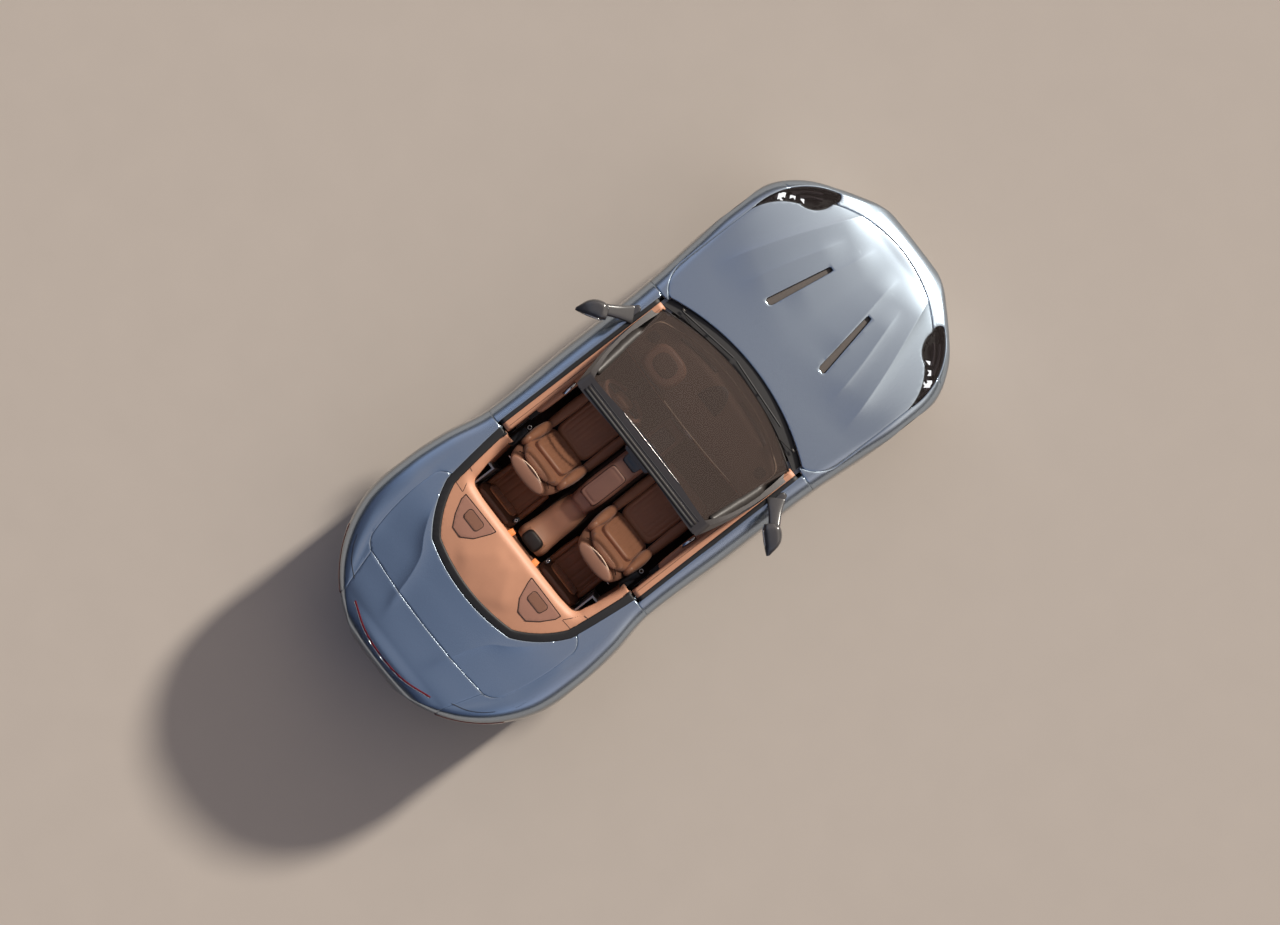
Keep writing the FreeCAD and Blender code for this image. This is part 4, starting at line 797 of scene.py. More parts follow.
FUEL_FLAP = (
    (-0.716, 1.584), (-0.83, 1.584), (-0.842, 1.6), (-0.828, 1.745), (-0.812, 1.76), (-0.714, 1.758), (-0.702, 1.742),
    (-0.704, 1.598))


PIT = symmetric((
    (0, 0.6), (0.64, 0.6), (0.634, 0.71), (0.612, 0.9), (0.592, 0.985), (0.57, 1.04, 0.52, 1.062), (0.42, 1.07),
    (0.224, 1.071), (0, 1.071)))
POD_INSET = outline((
    (0.3, 1.155), (0.398, 1.155), (0.418, 1.162, 0.425, 1.182), (0.42, 1.215), (0.412, 1.23, 0.395, 1.234),
    (0.305, 1.234), (0.285, 1.228, 0.277, 1.21), (0.275, 1.182), (0.281, 1.162, 0.3, 1.155)))
DECK_LINES = (
    ((0.735, 1.128), (0.64, 1.131), (0.548, 1.136)),
    ((0.7, 0.99), (0.64, 0.998), (0.606, 1.01), (0.585, 1.06), (0.548, 1.132)),
)
DECK_FACETS = ((((0.01, 1.135), (0.11, 1.27), (0.25, 1.45)), 0.01, (0.22, 0.07)),)


# The body's outer form


@dataclass
class BodyForm:
    """The car's whole outer surface as a smooth closed skin.

    The rows are cross-sections from nose to tail. Columns, in millimetres: how far the section is from the
    middle of the car, half width and height of the sill, of the widest line, of the side's upper end and of
    the shoulder, and the height of the crown.

    Args:
        rows: The sections.
        stations: How many sections the skin is drawn through.
        ring: Points along each of a half section's five runs, from the crown to the middle of the floor.
    """

    rows: tuple = (
        (0, 240, 330, 300, 430, 292, 520, 250, 575, 592),
        (35, 330, 215, 390, 420, 375, 560, 320, 625, 648),
        (100, 430, 150, 495, 420, 478, 590, 415, 665, 692),
        (200, 560, 130, 650, 420, 628, 620, 560, 700, 724),
        (330, 700, 125, 815, 430, 790, 650, 710, 735, 756),
        (520, 820, 125, 945, 450, 918, 680, 820, 775, 792),
        (870, 850, 130, 980, 480, 955, 730, 850, 832, 846),
        (1220, 830, 135, 958, 480, 930, 755, 835, 858, 890),
        (1620, 815, 140, 930, 470, 900, 775, 800, 885, 925),
        (2360, 810, 140, 925, 470, 893, 780, 790, 900, 935),
        (3035, 800, 140, 905, 480, 880, 800, 775, 915, 955),
        (3375, 830, 145, 965, 540, 935, 820, 800, 925, 975),
        (3675, 850, 160, 990, 580, 960, 820, 790, 925, 985),
        (4055, 820, 190, 962, 590, 928, 810, 740, 905, 955),
        (4305, 740, 240, 850, 590, 815, 800, 640, 895, 930),
        (4505, 600, 290, 672, 590, 640, 790, 520, 885, 912),
        (4625, 430, 340, 490, 580, 468, 760, 380, 865, 895),
        (4690, 300, 400, 330, 580, 318, 720, 270, 800, 830),
        (4725, 230, 470, 255, 580, 245, 660, 215, 710, 725),
    )
    stations: int = 330
    ring: tuple = (30, 14, 16, 18, 6)

    def __post_init__(self) -> None:
        """Draws the skin's points and normals."""
        table = np.array(self.rows, float) / 1000
        table[:, 0] += NOSE
        table = np.vstack([self.closing(table[0], -1), table, self.closing(table[-1], 1)])
        step = np.hypot(np.hypot(*np.diff(table[:, [0, 3]], axis=0).T), 0.5 * np.diff(table[:, 9]))
        u = np.concatenate([[0], np.cumsum(step)])
        fine = np.linspace(0, u[-1], self.stations)
        self.table = np.stack([spline(u, table[:, c], fine) for c in range(10)], axis=1)
        self.points = np.array([self.section(row) for row in self.table])
        along = np.gradient(self.points, axis=0)
        around = np.roll(self.points, -1, axis=1) - np.roll(self.points, 1, axis=1)
        normal = np.cross(around, along)
        self.normals = normal / np.maximum(np.linalg.norm(normal, axis=2, keepdims=True), 1e-12)

    def closing(self, end: np.ndarray, side: int) -> np.ndarray:
        """Rows that close one end with a shallow dome.

        Args:
            end: The end's row.
            side: -1 at the nose, 1 at the tail.

        Returns:
            The rows, in order along the car.
        """
        middle = (end[2] + end[9]) / 2
        out = []
        for share, ahead in ((0.7, 0.006), (0.35, 0.0085), (0.02, 0.009)):
            row = end.copy()
            row[0] += side * ahead
            row[[1, 3, 5, 7]] *= share
            row[[2, 4, 6, 8, 9]] = middle + (row[[2, 4, 6, 8, 9]] - middle) * share
            out.append(row)
        return np.array(out if side > 0 else out[::-1])

    def section(self, row: np.ndarray) -> np.ndarray:
        """One closed cross-section, from the crown round the left side and back.

        Args:
            row: The section's measures.

        Returns:
            Its points.
        """
        y, sx, sz, wx, wz, cx, cz, dx, dz, top = row
        sill, wide, side, shoulder, crown = np.array([(sx, sz), (wx, wz), (cx, cz), (dx, dz), (0.0, top)])
        n1, n2, n3, n4, n5 = self.ring
        upper, leaving = tangent_arc(wide, np.array((0.0, 1.0)), side, n3)
        roll, _ = tangent_arc(side, leaving, shoulder, n2)
        lower, _ = tangent_arc(wide, np.array((0.0, -1.0)), sill, n4)
        crest, _ = tangent_arc(crown, np.array((1.0, 0.0)), shoulder, n1)
        floor = np.linspace(sill, (0.0, sz), n5 + 1)
        half = np.vstack([crest[:-1], roll[::-1][:-1], upper[::-1][:-1], lower[:-1], floor])
        mirror = half[1:-1][::-1] * (-1, 1)
        ring = np.vstack([half, mirror])
        return np.column_stack([ring[:, 0], np.full(len(ring), y), ring[:, 1]])

    def height(self, x: float, y: float) -> float:
        """How high the skin's top is over a plan point.

        Args:
            x: Across.
            y: Along.

        Returns:
            The height.
        """
        i = int(np.argmin(np.abs(self.table[:, 0] - y)))
        half = self.points[i][: sum(self.ring[:2]) + 1]
        return float(np.interp(abs(x), half[:, 0], half[:, 2]))


def tangent_arc(start: np.ndarray, tangent: np.ndarray, end: np.ndarray, count: int) -> tuple[np.ndarray, np.ndarray]:
    """Points of the arc that leaves start along tangent and reaches end, and its direction there.

    Args:
        start: Where it starts.
        tangent: Unit direction there.
        end: Where it ends.
        count: How many steps.

    Returns:
        The points, and the unit direction at the end.
    """
    chord = end - start
    length = math.hypot(*chord)
    unit = chord / max(length, 1e-12)
    turn = math.atan2(tangent[0] * unit[1] - tangent[1] * unit[0], float(tangent @ unit))
    t = np.linspace(0, 1, count + 1)
    reach = length * (np.sin(turn * t) / math.sin(turn) if abs(turn) > 1e-6 else t)
    c, s = np.cos(turn * t), np.sin(turn * t)
    points = start + np.column_stack([
        tangent[0] * c - tangent[1] * s, tangent[0] * s + tangent[1] * c]) * reach[:, None]
    return points, 2 * float(tangent @ unit) * unit - tangent


def spline(u: np.ndarray, v: np.ndarray, at: np.ndarray) -> np.ndarray:
    """A smooth curve through values, after the shape-keeping cubic of Fritsch and Carlson.

    Args:
        u: Where the values are, rising.
        v: The values.
        at: Where the curve is wanted.

    Returns:
        The curve's values there.
    """
    h, d = np.diff(u), np.diff(v) / np.diff(u)
    m = np.empty_like(v)
    m[0], m[-1] = d[0], d[-1]
    for i in range(1, len(v) - 1):
        m[i] = (h[i] * d[i - 1] + h[i - 1] * d[i]) / (h[i] + h[i - 1])
        if d[i - 1] * d[i] <= 0:
            m[i] *= 0.35
    k = np.clip(np.searchsorted(u, at) - 1, 0, len(h) - 1)
    t = (at - u[k]) / h[k]
    a, b = 2 * t**3 - 3 * t**2 + 1, t**3 - 2 * t**2 + t
    return a * v[k] + b * h[k] * m[k] + (1 - a) * v[k + 1] + (t**3 - t**2) * h[k] * m[k + 1]


@dataclass
class Skin:
    """A piece of the body's surface while panels are cut from it.

    Args:
        points: Corners.
        normals: Outward normals at the corners.
        faces: Corner numbers of each face.
    """

    points: np.ndarray
    normals: np.ndarray
    faces: list[tuple[int, ...]]

    def crop(self, keep: np.ndarray) -> "Skin":
        """The faces that touch a kept corner."""
        faces = [f for f in self.faces if any(keep[i] for i in f)]
        used = sorted({i for f in faces for i in f})
        number = {old: new for new, old in enumerate(used)}
        return Skin(self.points[used], self.normals[used], [tuple(number[i] for i in f) for f in faces])

    def split(self, where: Field, level: float) -> "Skin":
        """Cuts the faces along the line where a field has a level.

        Args:
            where: The field.
            level: Its value on the cut.

        Returns:
            The skin with an edge along that line.
        """
        value = where(self.points) - level
        value[np.abs(value) < 2e-5] = 0.0
        points, normals = list(self.points), list(self.normals)
        cut: dict[tuple[int, int], int] = {}
        faces: list[tuple[int, ...]] = []
        for face in self.faces:
            signs = [value[i] for i in face]
            if min(signs) >= 0 or max(signs) <= 0:
                faces.append(face)
                continue
            above: list[int] = []
            below: list[int] = []
            for i, j in zip(face, face[1:] + face[:1]):
                if value[i] >= 0:
                    above.append(i)
                if value[i] <= 0:
                    below.append(i)
                if value[i] * value[j] < 0:
                    key = (min(i, j), max(i, j))
                    if key not in cut:
                        t = value[key[0]] / (value[key[0]] - value[key[1]])
                        cut[key] = len(points)
                        points.append(points[key[0]] * (1 - t) + points[key[1]] * t)
                        mixed = normals[key[0]] * (1 - t) + normals[key[1]] * t
                        normals.append(mixed / max(np.linalg.norm(mixed), 1e-12))
                    above.append(cut[key])
                    below.append(cut[key])
            faces += [tuple(f) for f in (above, below) if len(f) > 2]
        return Skin(np.array(points), np.array(normals), faces)


# How far beyond a panel's edge the skin is kept while it is cut, and how far beside a crease the mesh is split.
MARGIN = 0.03
CREASE_SPLITS = (-0.014, -0.005, 0.0, 0.005, 0.014)


@dataclass
class PanelMaker:
    """Cuts panels out of the body's skin, with rolled edges along their shut lines.

    Args:
        form: The body's form.
        hem: Radius of the rolled edge.
        thick: How thick a panel is.
    """

    form: BodyForm
    hem: float = 0.0045
    thick: float = 0.004
    whole: Skin = field(init=False)

    def __post_init__(self) -> None:
        """Turns the form's grid into one closed skin."""
        rows, around = self.form.points.shape[:2]
        faces = [f[::-1] for f in grid_faces(rows, around, wrap=True)]
        self.whole = Skin(self.form.points.reshape(-1, 3), self.form.normals.reshape(-1, 3), faces)

    def cut(
        self, name: str, where: Field, finish: Finish, lift: Field | None = None, drop: float = 0.0,
        thick: float | None = None, creases: Sequence[Sequence[Point]] = ()
    ) -> Piece:
        """Makes the panel where a field is positive.

        Args:
            name: Object name.
            where: The field, a distance from the panel's edge.
            finish: Its finish.
            lift: Height of the forms pressed into it.
            drop: How far it lies below the skin.
            thick: How thick it is, or None for the maker's own.
            creases: Plan points of the lines its mesh follows.

        Returns:
            The panel.
        """
        skin = self.whole.crop(where(self.whole.points) > -MARGIN)
        for path in creases:
            for level in CREASE_SPLITS:
                skin = skin.split(beside(path), level)
        for share in (0.0, 0.12, 0.45, 1.0):
            skin = skin.split(where, self.hem * share)
        depth = where(skin.points)
        skin = skin.crop(depth > 1e-4)
        depth = np.clip(where(skin.points), 0, self.hem)
        sink = self.hem - np.sqrt(np.maximum(self.hem**2 - (self.hem - depth) ** 2, 0))
        raised = lift(skin.points) if lift else 0.0
        moved = skin.points + skin.normals * (raised - sink - drop)[:, None]
        return thickened(make_mesh(name, moved, skin.faces, finish), self.thick if thick is None else thick)

    def trace(
        self, name: str, points: Sequence[Point], half: float, finish: Finish, up: float, lift: Field | None = None,
        closed: bool = False
    ) -> Piece:
        """A thin raised line along plan points on the skin.

        Args:
            name: Object name.
            points: Plan points along it.
            half: Half its width.
            finish: Its finish.
            up: How far above the skin its middle lies.
            lift: Height of the forms below it.
            closed: Whether it closes on itself.

        Returns:
            The object.
        """
        line = np.array(list(points) + [points[0]], float) if closed else smooth_line(points)
        step = lengths(line)
        at = np.linspace(0, step[-1], max(8, int(step[-1] / 0.006)))
        line = np.column_stack([np.interp(at, step, line[:, k]) for k in (0, 1)])
        aside = np.gradient(line, axis=0)[:, ::-1] * (1, -1)
        aside /= np.maximum(np.linalg.norm(aside, axis=1, keepdims=True), 1e-9)
        rows = []
        for share, level in ((-1.0, -0.0012), (-0.6, 0.0), (0.6, 0.0), (1.0, -0.0012)):
            run = line + aside * half * share
            rows.append(np.column_stack([run, [[self.form.height(*q) + up + level] for q in run]]))
        flat = np.stack(rows, axis=1).reshape(-1, 3)
        if lift:
            flat[:, 2] += lift(flat)
        return make_mesh(name, flat, grid_faces(len(line), 4), finish)


def lengths(line: np.ndarray) -> np.ndarray:
    """How far along a plan line each of its points is."""
    return np.concatenate([[0], np.cumsum(np.hypot(*np.diff(line, axis=0).T))])


def smooth_line(points: Sequence[Point], count: int = 40) -> np.ndarray:
    """A smooth plan line through a few points.

    Args:
        points: The points.
        count: How many are wanted along it.

    Returns:
        The line's points.
    """
    table = np.array(points, float)
    u = lengths(table)
    at = np.linspace(0, u[-1], count)
    return np.stack([spline(u, table[:, c], at) for c in range(table.shape[1])], axis=1)


def along_line(line: np.ndarray, flat: np.ndarray) -> tuple[np.ndarray, np.ndarray]:
    """How far plan points are from a line, and where along it.

    Args:
        line: The line's points.
        flat: The plan points.

    Returns:
        Distances, and shares of the line's length from 0 to 1.
    """
    best, share = np.full(len(flat), 1e9), np.zeros(len(flat))
    for k, (p, q) in enumerate(zip(line[:-1], line[1:])):
        e = q - p
        t = np.clip(((flat - p) @ e) / float(e @ e), 0, 1)
        d = np.hypot(*(flat - p - t[:, None] * e).T)
        near = d < best
        best = np.where(near, d, best)
        share = np.where(near, (k + t) / (len(line) - 1), share)
    return best, share


def ridges(*creases: tuple) -> Field:
    """Height of soft ridges, each with its mirror image, over plan points.

    Args:
        creases: For each, its plan points, its height, and how wide it fades towards the middle and outwards.

    Returns:
        The height as a field.
    """
    lines = [
        (smooth_line(path), high, wide if isinstance(wide, tuple) else (wide, wide)) for path, high, wide in creases]

    def height(pts: np.ndarray) -> np.ndarray:
        """Adds up the ridges."""
        flat = np.column_stack([np.abs(pts[:, 0]), pts[:, 1]])
        total = np.zeros(len(pts))
        for line, high, (inner, outer) in lines:
            far, share = along_line(line, flat)
            order = np.argsort(line[:, 1])
            at = np.interp(flat[:, 1], line[order, 1], line[order, 0])
            wide = np.where(flat[:, 0] < at, inner, outer)
            fade = np.clip(share * 4, 0, 1) * np.clip((1 - share) * 4, 0, 1)
            total += high * np.exp(-far / wide) * fade * fade * (3 - 2 * fade)
        return total

    return height


def beside(path: Sequence[Point]) -> Field:
    """How far outwards of a plan line, on both halves of the car; beyond the line's ends it is never near nought."""
    line = smooth_line(path)
    order = np.argsort(line[:, 1])

    def field_value(pts: np.ndarray) -> np.ndarray:
        """The distance across."""
        across = np.abs(pts[:, 0]) - np.interp(pts[:, 1], line[order, 1], line[order, 0])
        beyond_end = (pts[:, 1] < line[order[0], 1]) | (pts[:, 1] > line[order[-1], 1])
        return np.where(beyond_end | (pts[:, 2] < 0.5), 1.0, across)

    return field_value


# Sub-assemblies


@dataclass
class BodyShell:
    """All painted panels, cut from one skin.

    Args:
        maker: What cuts them.
        gap: Half the width of a shut line.
    """

    maker: PanelMaker
    gap: float = SHUT

    def build(self) -> None:
        """Makes the panels and puts them on their bodies."""
        g, cut = self.gap, self.maker.cut
        cabin, bonnet, lamp, tonneau, boot, vent = map(within_plan, (CABIN, BONNET, HEADLAMP, TONNEAU, BOOT, VENT))
        vents = either(vent, within_plan(VENT * (-1, 1)))
        lamps = both(UPPER, either(lamp, within_plan(HEADLAMP * (-1, 1))))
        hood, lamp = both(UPPER, bonnet), both(UPPER, lamp)
        arches = either(wheel_arch(FRONT_AXLE), wheel_arch(REAR_AXLE))
        mouth = both(lambda p: inside(MOUTH, p[:, [0, 2]]), beyond(1, NOSE + MOUTH_DEPTH, -1))
        low_corner = both(beyond(1, FRONT_AXLE, -1), beyond(2, AXLE_Z, -1))
        left, bottom = beyond(0, 0.55), both(beyond(0, SKIRT_X, -1), beyond(2, 0.3, -1))
        nose_forms, rear_forms = ridges(*BONNET_CREASES), ridges(TAIL_CREASE, HAUNCH_CREASE)
        paths = [row[0] for row in BONNET_CREASES]
        skin = cut(
            "bonnet_skin", both(hood, outside(cabin, g), outside(vents), beyond(1, -0.5, -1), within_plan(BONNET, -g)),
            PAINT, nose_forms, creases=paths)
        seat(skin, "bonnet_body")
        bumper = both(
            either(beyond(1, NOSE_BREAK - g / 2, -1), both(low_corner, outside(bottom))), outside(hood, g),
            outside(lamps, g / 2), outside(mouth), outside(arches))
        seat(
            cut("front_bumper_skin", bumper, PAINT, nose_forms, creases=paths[:1]), "body", "front_bumper"
        )
        fender = both(
            left, beyond(1, NOSE_BREAK + g / 2), beyond(1, DOOR_FRONT - g, -1), outside(hood, g), outside(lamp, g / 2),
            outside(cabin), outside(arches), outside(bottom), outside(low_corner))
        self.sided("fender", fender, "body", "fenders")
        door = both(
            left, beyond(0, SKIRT_X), beyond(1, DOOR_FRONT + g), beyond(1, DOOR_REAR - g, -1), beyond(2, SILL_TOP + g))
        self.sided("door", door, "door_{}_body", "")
        skirt = both(
            left, beyond(0, 0.772), beyond(1, DOOR_FRONT), beyond(1, DOOR_REAR, -1), beyond(2, SILL_TOP - g, -1))
        self.sided("side_skirt", skirt, "body", "side_skirts")
        quarter = both(
            beyond(0, 0.42), beyond(1, DOOR_REAR + g),
            either(beyond(1, BUMPER_BREAK, -1), beyond(2, TAIL_BREAK + g / 2)), outside(cabin),
            outside(both(UPPER, tonneau), g), outside(both(beyond(2, TAIL_BREAK), boot), g), outside(arches),
            outside(self.tail_slot()), outside(both(beyond(0, SKIRT_X, -1), beyond(2, 0.6, -1))))
        self.sided("quarter_panel", quarter, "body", "quarter_panels", ridges(HAUNCH_CREASE))
        skin = cut(
            "tonneau_skin", both(UPPER, tonneau, outside(cabin, 0.001)), PAINT, rear_forms, creases=[TAIL_CREASE[0]])
        seat(skin, "body", "tonneau_cover")
        bumper = both(
            beyond(1, BUMPER_BREAK + g / 2), beyond(2, TAIL_BREAK - g / 2, -1), outside(arches),
            outside(both(beyond(0, 0.52, -1), beyond(0, -0.52), beyond(2, 0.43, -1))))
        seat(cut("rear_bumper_skin", bumper, PAINT), "body", "rear_bumper")
        seat(
            cut("boot_lid_skin", both(beyond(2, TAIL_BREAK + g), within_plan(BOOT, -g)), PAINT, rear_forms),
            "boot_lid_body")
        self.fine_lines()

    def fine_lines(self) -> None:
        """The thin lines on the tail: the high brake light with a bright strip along its edge that is a painted
        highlight, the lamps' upper edges and the fuel flap's outline.
        """
        strip = self.maker.trace("brake_light", SPOILER_LINE, 0.0065, RED, 0.0055)
        # A bright chrome strip laid along the brake light: a painted highlight for the glint on its edge.
        glint = self.maker.trace("brake_light_edge", [(x, y + 0.0095) for x, y in SPOILER_LINE], 0.0018, CHROME, 0.0055)
        flap = self.maker.trace("fuel_flap_line", FUEL_FLAP, 0.002, BLACK, 0.005, closed=True)
        left = self.maker.trace("lamp_edge_left", LAMP_EDGE, 0.0032, BLACK, 0.0052)
        right = mirror_copy(left, "lamp_edge_right")
        for piece in (strip, glint):
            seat(piece, "boot_lid_body")
        vent = self.maker.cut(
            "vent_floor_left", both(UPPER, within_plan(VENT, 0.006)), VENT_MESH, drop=0.012, thick=0.002)
        for piece in (vent, mirror_copy(vent, "vent_floor_right")):
            seat(piece, "bonnet_body")
        seal = self.maker.trace("shut_seal_0", self.front_part(BONNET, -1.0), 0.004, RUBBER, 0.0032)
        for piece in (flap, left, right, seal):
            seat(piece, "body")

    def front_part(self, edge: np.ndarray, last: float) -> np.ndarray:
        """The part of a closed outline that lies ahead of a place along the car, in one run."""
        turned = np.roll(edge, -int(np.argmax(edge[:, 1])), axis=0)
        return turned[turned[:, 1] < last]

    def tail_slot(self) -> Field:
        """Where the left tail lamp shows."""
        return both(
            beyond(1, TAIL - 0.47), beyond(2, TAIL_BREAK + 0.04), beyond(2, TAIL_BREAK + 0.084, -1),
            outside(within_plan(BOOT), 0.0))

    def sided(self, name: str, where: Field, body: str, node: str, lift: Field | None = None) -> None:
        """Cuts a left panel, mirrors it to the right and seats both.

        Args:
            name: Piece name without its side.
            where: The left panel's field.
            body: The body they ride on, with {} where its name holds the side.
            node: The node they stand for.
            lift: Height of the forms pressed into it.
        """
        left = self.maker.cut(name + "_left", where, PAINT, lift)
        for side, panel in zip(Side, (left, mirror_copy(left, name + "_right"))):
            seat(panel, body.format(side.word), node)


def salvage(node: str, name: str, finish: Finish, keep: Callable[[Vector, Vector], bool]) -> Piece:
    """A copy of a node's mesh with only the faces that a test keeps.

    Args:
        node: The CAD node.
        name: The copy's name.
        finish: Its finish.
        keep: Test of a face's middle and normal.

    Returns:
        The copy.
    """
    mesh = bmesh.new()
    mesh.from_mesh(frame["nodes"][node].data)
    gone = [f for f in mesh.faces if not keep(f.calc_center_median(), f.normal)]
    bmesh.ops.delete(mesh, geom=gone, context="FACES")
    data = bpy.data.meshes.new(name)
    mesh.to_mesh(data)
    mesh.free()
    data.materials.clear()
    data.materials.append(finish.build())
    for polygon in data.polygons:
        polygon.material_index = 0
    return linked(name, data)


@dataclass
class Doors:
    """The doors' inner blocks, trims, pull bars and seals, behind their painted skins.

    Args:
        form: The body's form.
        pull_y: Where the pull bar starts.
    """

    form: BodyForm
    pull_y: float = 0.085

    def build(self) -> None:
        """Makes both doors' inner sides."""
        for side in Side:
            s = side.value
            node = f"door_{side.word}"
            core = salvage(node, node + "_core", BLACK, lambda c, n: (
                not (abs(c.x) > 0.8 and abs(n.x) > 0.5 and c.z < 0.86) and c.z < 0.8))
            seat(core, node + "_body", node)
            front, rear = DOOR_FRONT + 0.04, DOOR_REAR - 0.02
            stations = np.linspace(front, rear, 40)
            rail = self.strip(node + "_waist_seal", s, stations, 0.748, 0.776, -0.01, RUBBER)
            pad = self.strip(node + "_waist_pad", s, stations, 0.69, 0.749, -0.016, TAN, edge=0.02)
            sides = sorted((s * 0.7, s * 0.752))
            corners = np.array([(x, y, z) for z in (0.3, 0.845) for y in (front + 0.06, rear - 0.03) for x in sides])
            lower = bevelled(make_mesh(node + "_panel", corners, BOX_FACES, BROWN), 0.016, 3)
            arm = pillow(node + "_armrest", (s * 0.69, 0.12, 0.61), (0.07, 0.62, 0.085), TAN, square=4.5)
            bar = tube(
                node + "_pull",
                [(s * (0.668 - 0.01 * t), self.pull_y + t * 0.115, 0.8 + 0.012 * math.sin(math.pi * t))
                 for t in np.linspace(0, 1, 9)],
                0.0125, CHROME, flat=0.45)
            seam = self.strip(node + "_pad_seam", s, stations[1:-1], 0.7035, 0.7055, -0.0135, SEAM, edge=0.0)
            for piece in (rail, pad, lower, arm, bar, seam):
                seat(piece, node + "_body")

    def strip(
        self, name: str, s: int, stations: np.ndarray, x0: float, x1: float, drop: float, finish: Finish,
        edge: float = 0.006
    ) -> Piece:
        """A rounded band along the top of the door, following the body's height.

        Args:
            name: Object name.
            s: Side of the car.
            stations: Where it is drawn through.
            x0: Its inner edge.
            x1: Its outer edge.
            drop: Its height over the skin.
            finish: Its finish.
            edge: How far its inner edge rolls down.

        Returns:
            The object.
        """
        points = []
        across = np.linspace(0, 1, 9)
        for y in stations:
            for t in across:
                x = x0 + (x1 - x0) * t
                roll = edge * (1 - math.sin(math.pi / 2 * min(1.0, t * 3))) + 0.3 * edge * max(0.0, t * 3 - 2) ** 2
                points.append((s * x, y, self.form.height(x, y) + drop - roll))
        return thickened(make_mesh(name, np.array(points), grid_faces(len(stations), len(across)), finish), 0.012, s)


@dataclass
class Lamps:
    """Headlamp covers with their dark tubs and bright inner blocks, and the tail lamps.

    Args:
        maker: What cuts the covers from the body's skin.
        blocks: Middle, half length and half width of each bright block, and how far it is turned in degrees.
        fins: Plan points along each inner fin, and its half width.
    """

    maker: PanelMaker
    blocks: tuple = (
        (0.81, -1.803, 0.036, 0.024, -54), (0.749, -1.849, 0.031, 0.019, -50), (0.692, -1.892, 0.027, 0.013, -44))
    fins: tuple = (
        (((0.843, -1.7), (0.835, -1.86), (0.775, -1.985), (0.69, -2.075)), 0.014),
        (((0.79, -1.88), (0.735, -1.975), (0.655, -2.05)), 0.017),
        (((0.735, -1.912), (0.68, -1.975), (0.622, -2.02)), 0.012),
    )

    def build(self) -> None:
        """Makes the lamps of both sides."""
        cut = self.maker.cut
        cover = cut("headlamp_cover_left", both(UPPER, within_plan(HEADLAMP, -0.0025)), LENS, thick=0.003)
        tub = cut("headlamp_tub_left", both(UPPER, within_plan(HEADLAMP, 0.004)), BLACK, drop=0.05, thick=0.002)
        edge = both(UPPER, within_plan(HEADLAMP, -0.003), outside(within_plan(HEADLAMP, -0.011)))
        rim = cut("headlamp_rim_left", edge, BLACK, drop=0.0035, thick=0.004)
        tail = cut(
            "tail_lamp_left",
            both(
                beyond(0, 0.45), beyond(1, TAIL - 0.4685), beyond(2, TAIL_BREAK + 0.0415),
                beyond(2, TAIL_BREAK + 0.0825, -1), outside(within_plan(BOOT), 0.0015)),
            RED, thick=0.01)
        lights = [self.light_block(k, *row) for k, row in enumerate(self.blocks)]
        fins = [self.fin(k, line, half) for k, (line, half) in enumerate(self.fins)]
        inner = join("headlamp_inner_left", lights + fins)
        for piece in (cover, tub, rim, tail, inner):
            other = mirror_copy(piece, piece.name.replace("left", "right"))
            for o in (piece, other):
                seat(o, "body")
        for side in Side:
            cover, tail = (bpy.data.objects[f"{part}_{side.word}"] for part in ("headlamp_cover", "tail_lamp"))
            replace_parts(cover, "headlamps")
            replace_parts(tail, "tail_lamps")

    def light_block(self, number: int, x: float, y: float, half: float, wide: float, turn: float) -> Piece:
        """One bright block beside the lamp's inner edge.

        Args:
            number: Its number.
            x: Its middle across.
            y: Its middle along.
            half: Half its length.
            wide: Half its width.
            turn: Direction of its length in plan, in degrees.

        Returns:
            The object.
        """
        c, d = math.cos(math.radians(turn)), math.sin(math.radians(turn))
        points = []
        for level in (-0.016, -0.01):
            for a, b in ((-1, -1), (1, -1), (1, 1), (-1, 1)):
                px, py = x + c * half * a - d * wide * b, y + d * half * a + c * wide * b
                points.append((px, py, self.maker.form.height(px, py) + level))
        faces = [(3, 2, 1, 0), (4, 5, 6, 7), (0, 1, 5, 4), (1, 2, 6, 5), (2, 3, 7, 6), (3, 0, 4, 7)]
        return bevelled(make_mesh(f"light_block_{number}", np.array(points), faces, LIGHT_BAR, smooth=False), 0.0015)

    def fin(self, number: int, line: Sequence[Point], half: float) -> Piece:
        """One dark fin inside the lamp: a ledge that falls away outwards.

        Args:
            number: Its number.
            line: Its plan points.
            half: Half its width.

        Returns:
            The object.
        """
        middle = smooth_line(line, 24)
        aside = np.gradient(middle, axis=0)[:, ::-1] * (1, -1)
        aside /= np.linalg.norm(aside, axis=1, keepdims=True)
        points = []
        for p, n in zip(middle, aside):
            for share, level in ((-1.0, -0.04), (-0.8, -0.024), (0.7, -0.02), (1.0, -0.042)):
                x, y = p + n * half * share
                points.append((x, y, self.maker.form.height(x, y) + level))
        return make_mesh(f"lamp_fin_{number}", np.array(points), grid_faces(len(middle), 4), LAMP_FIN)


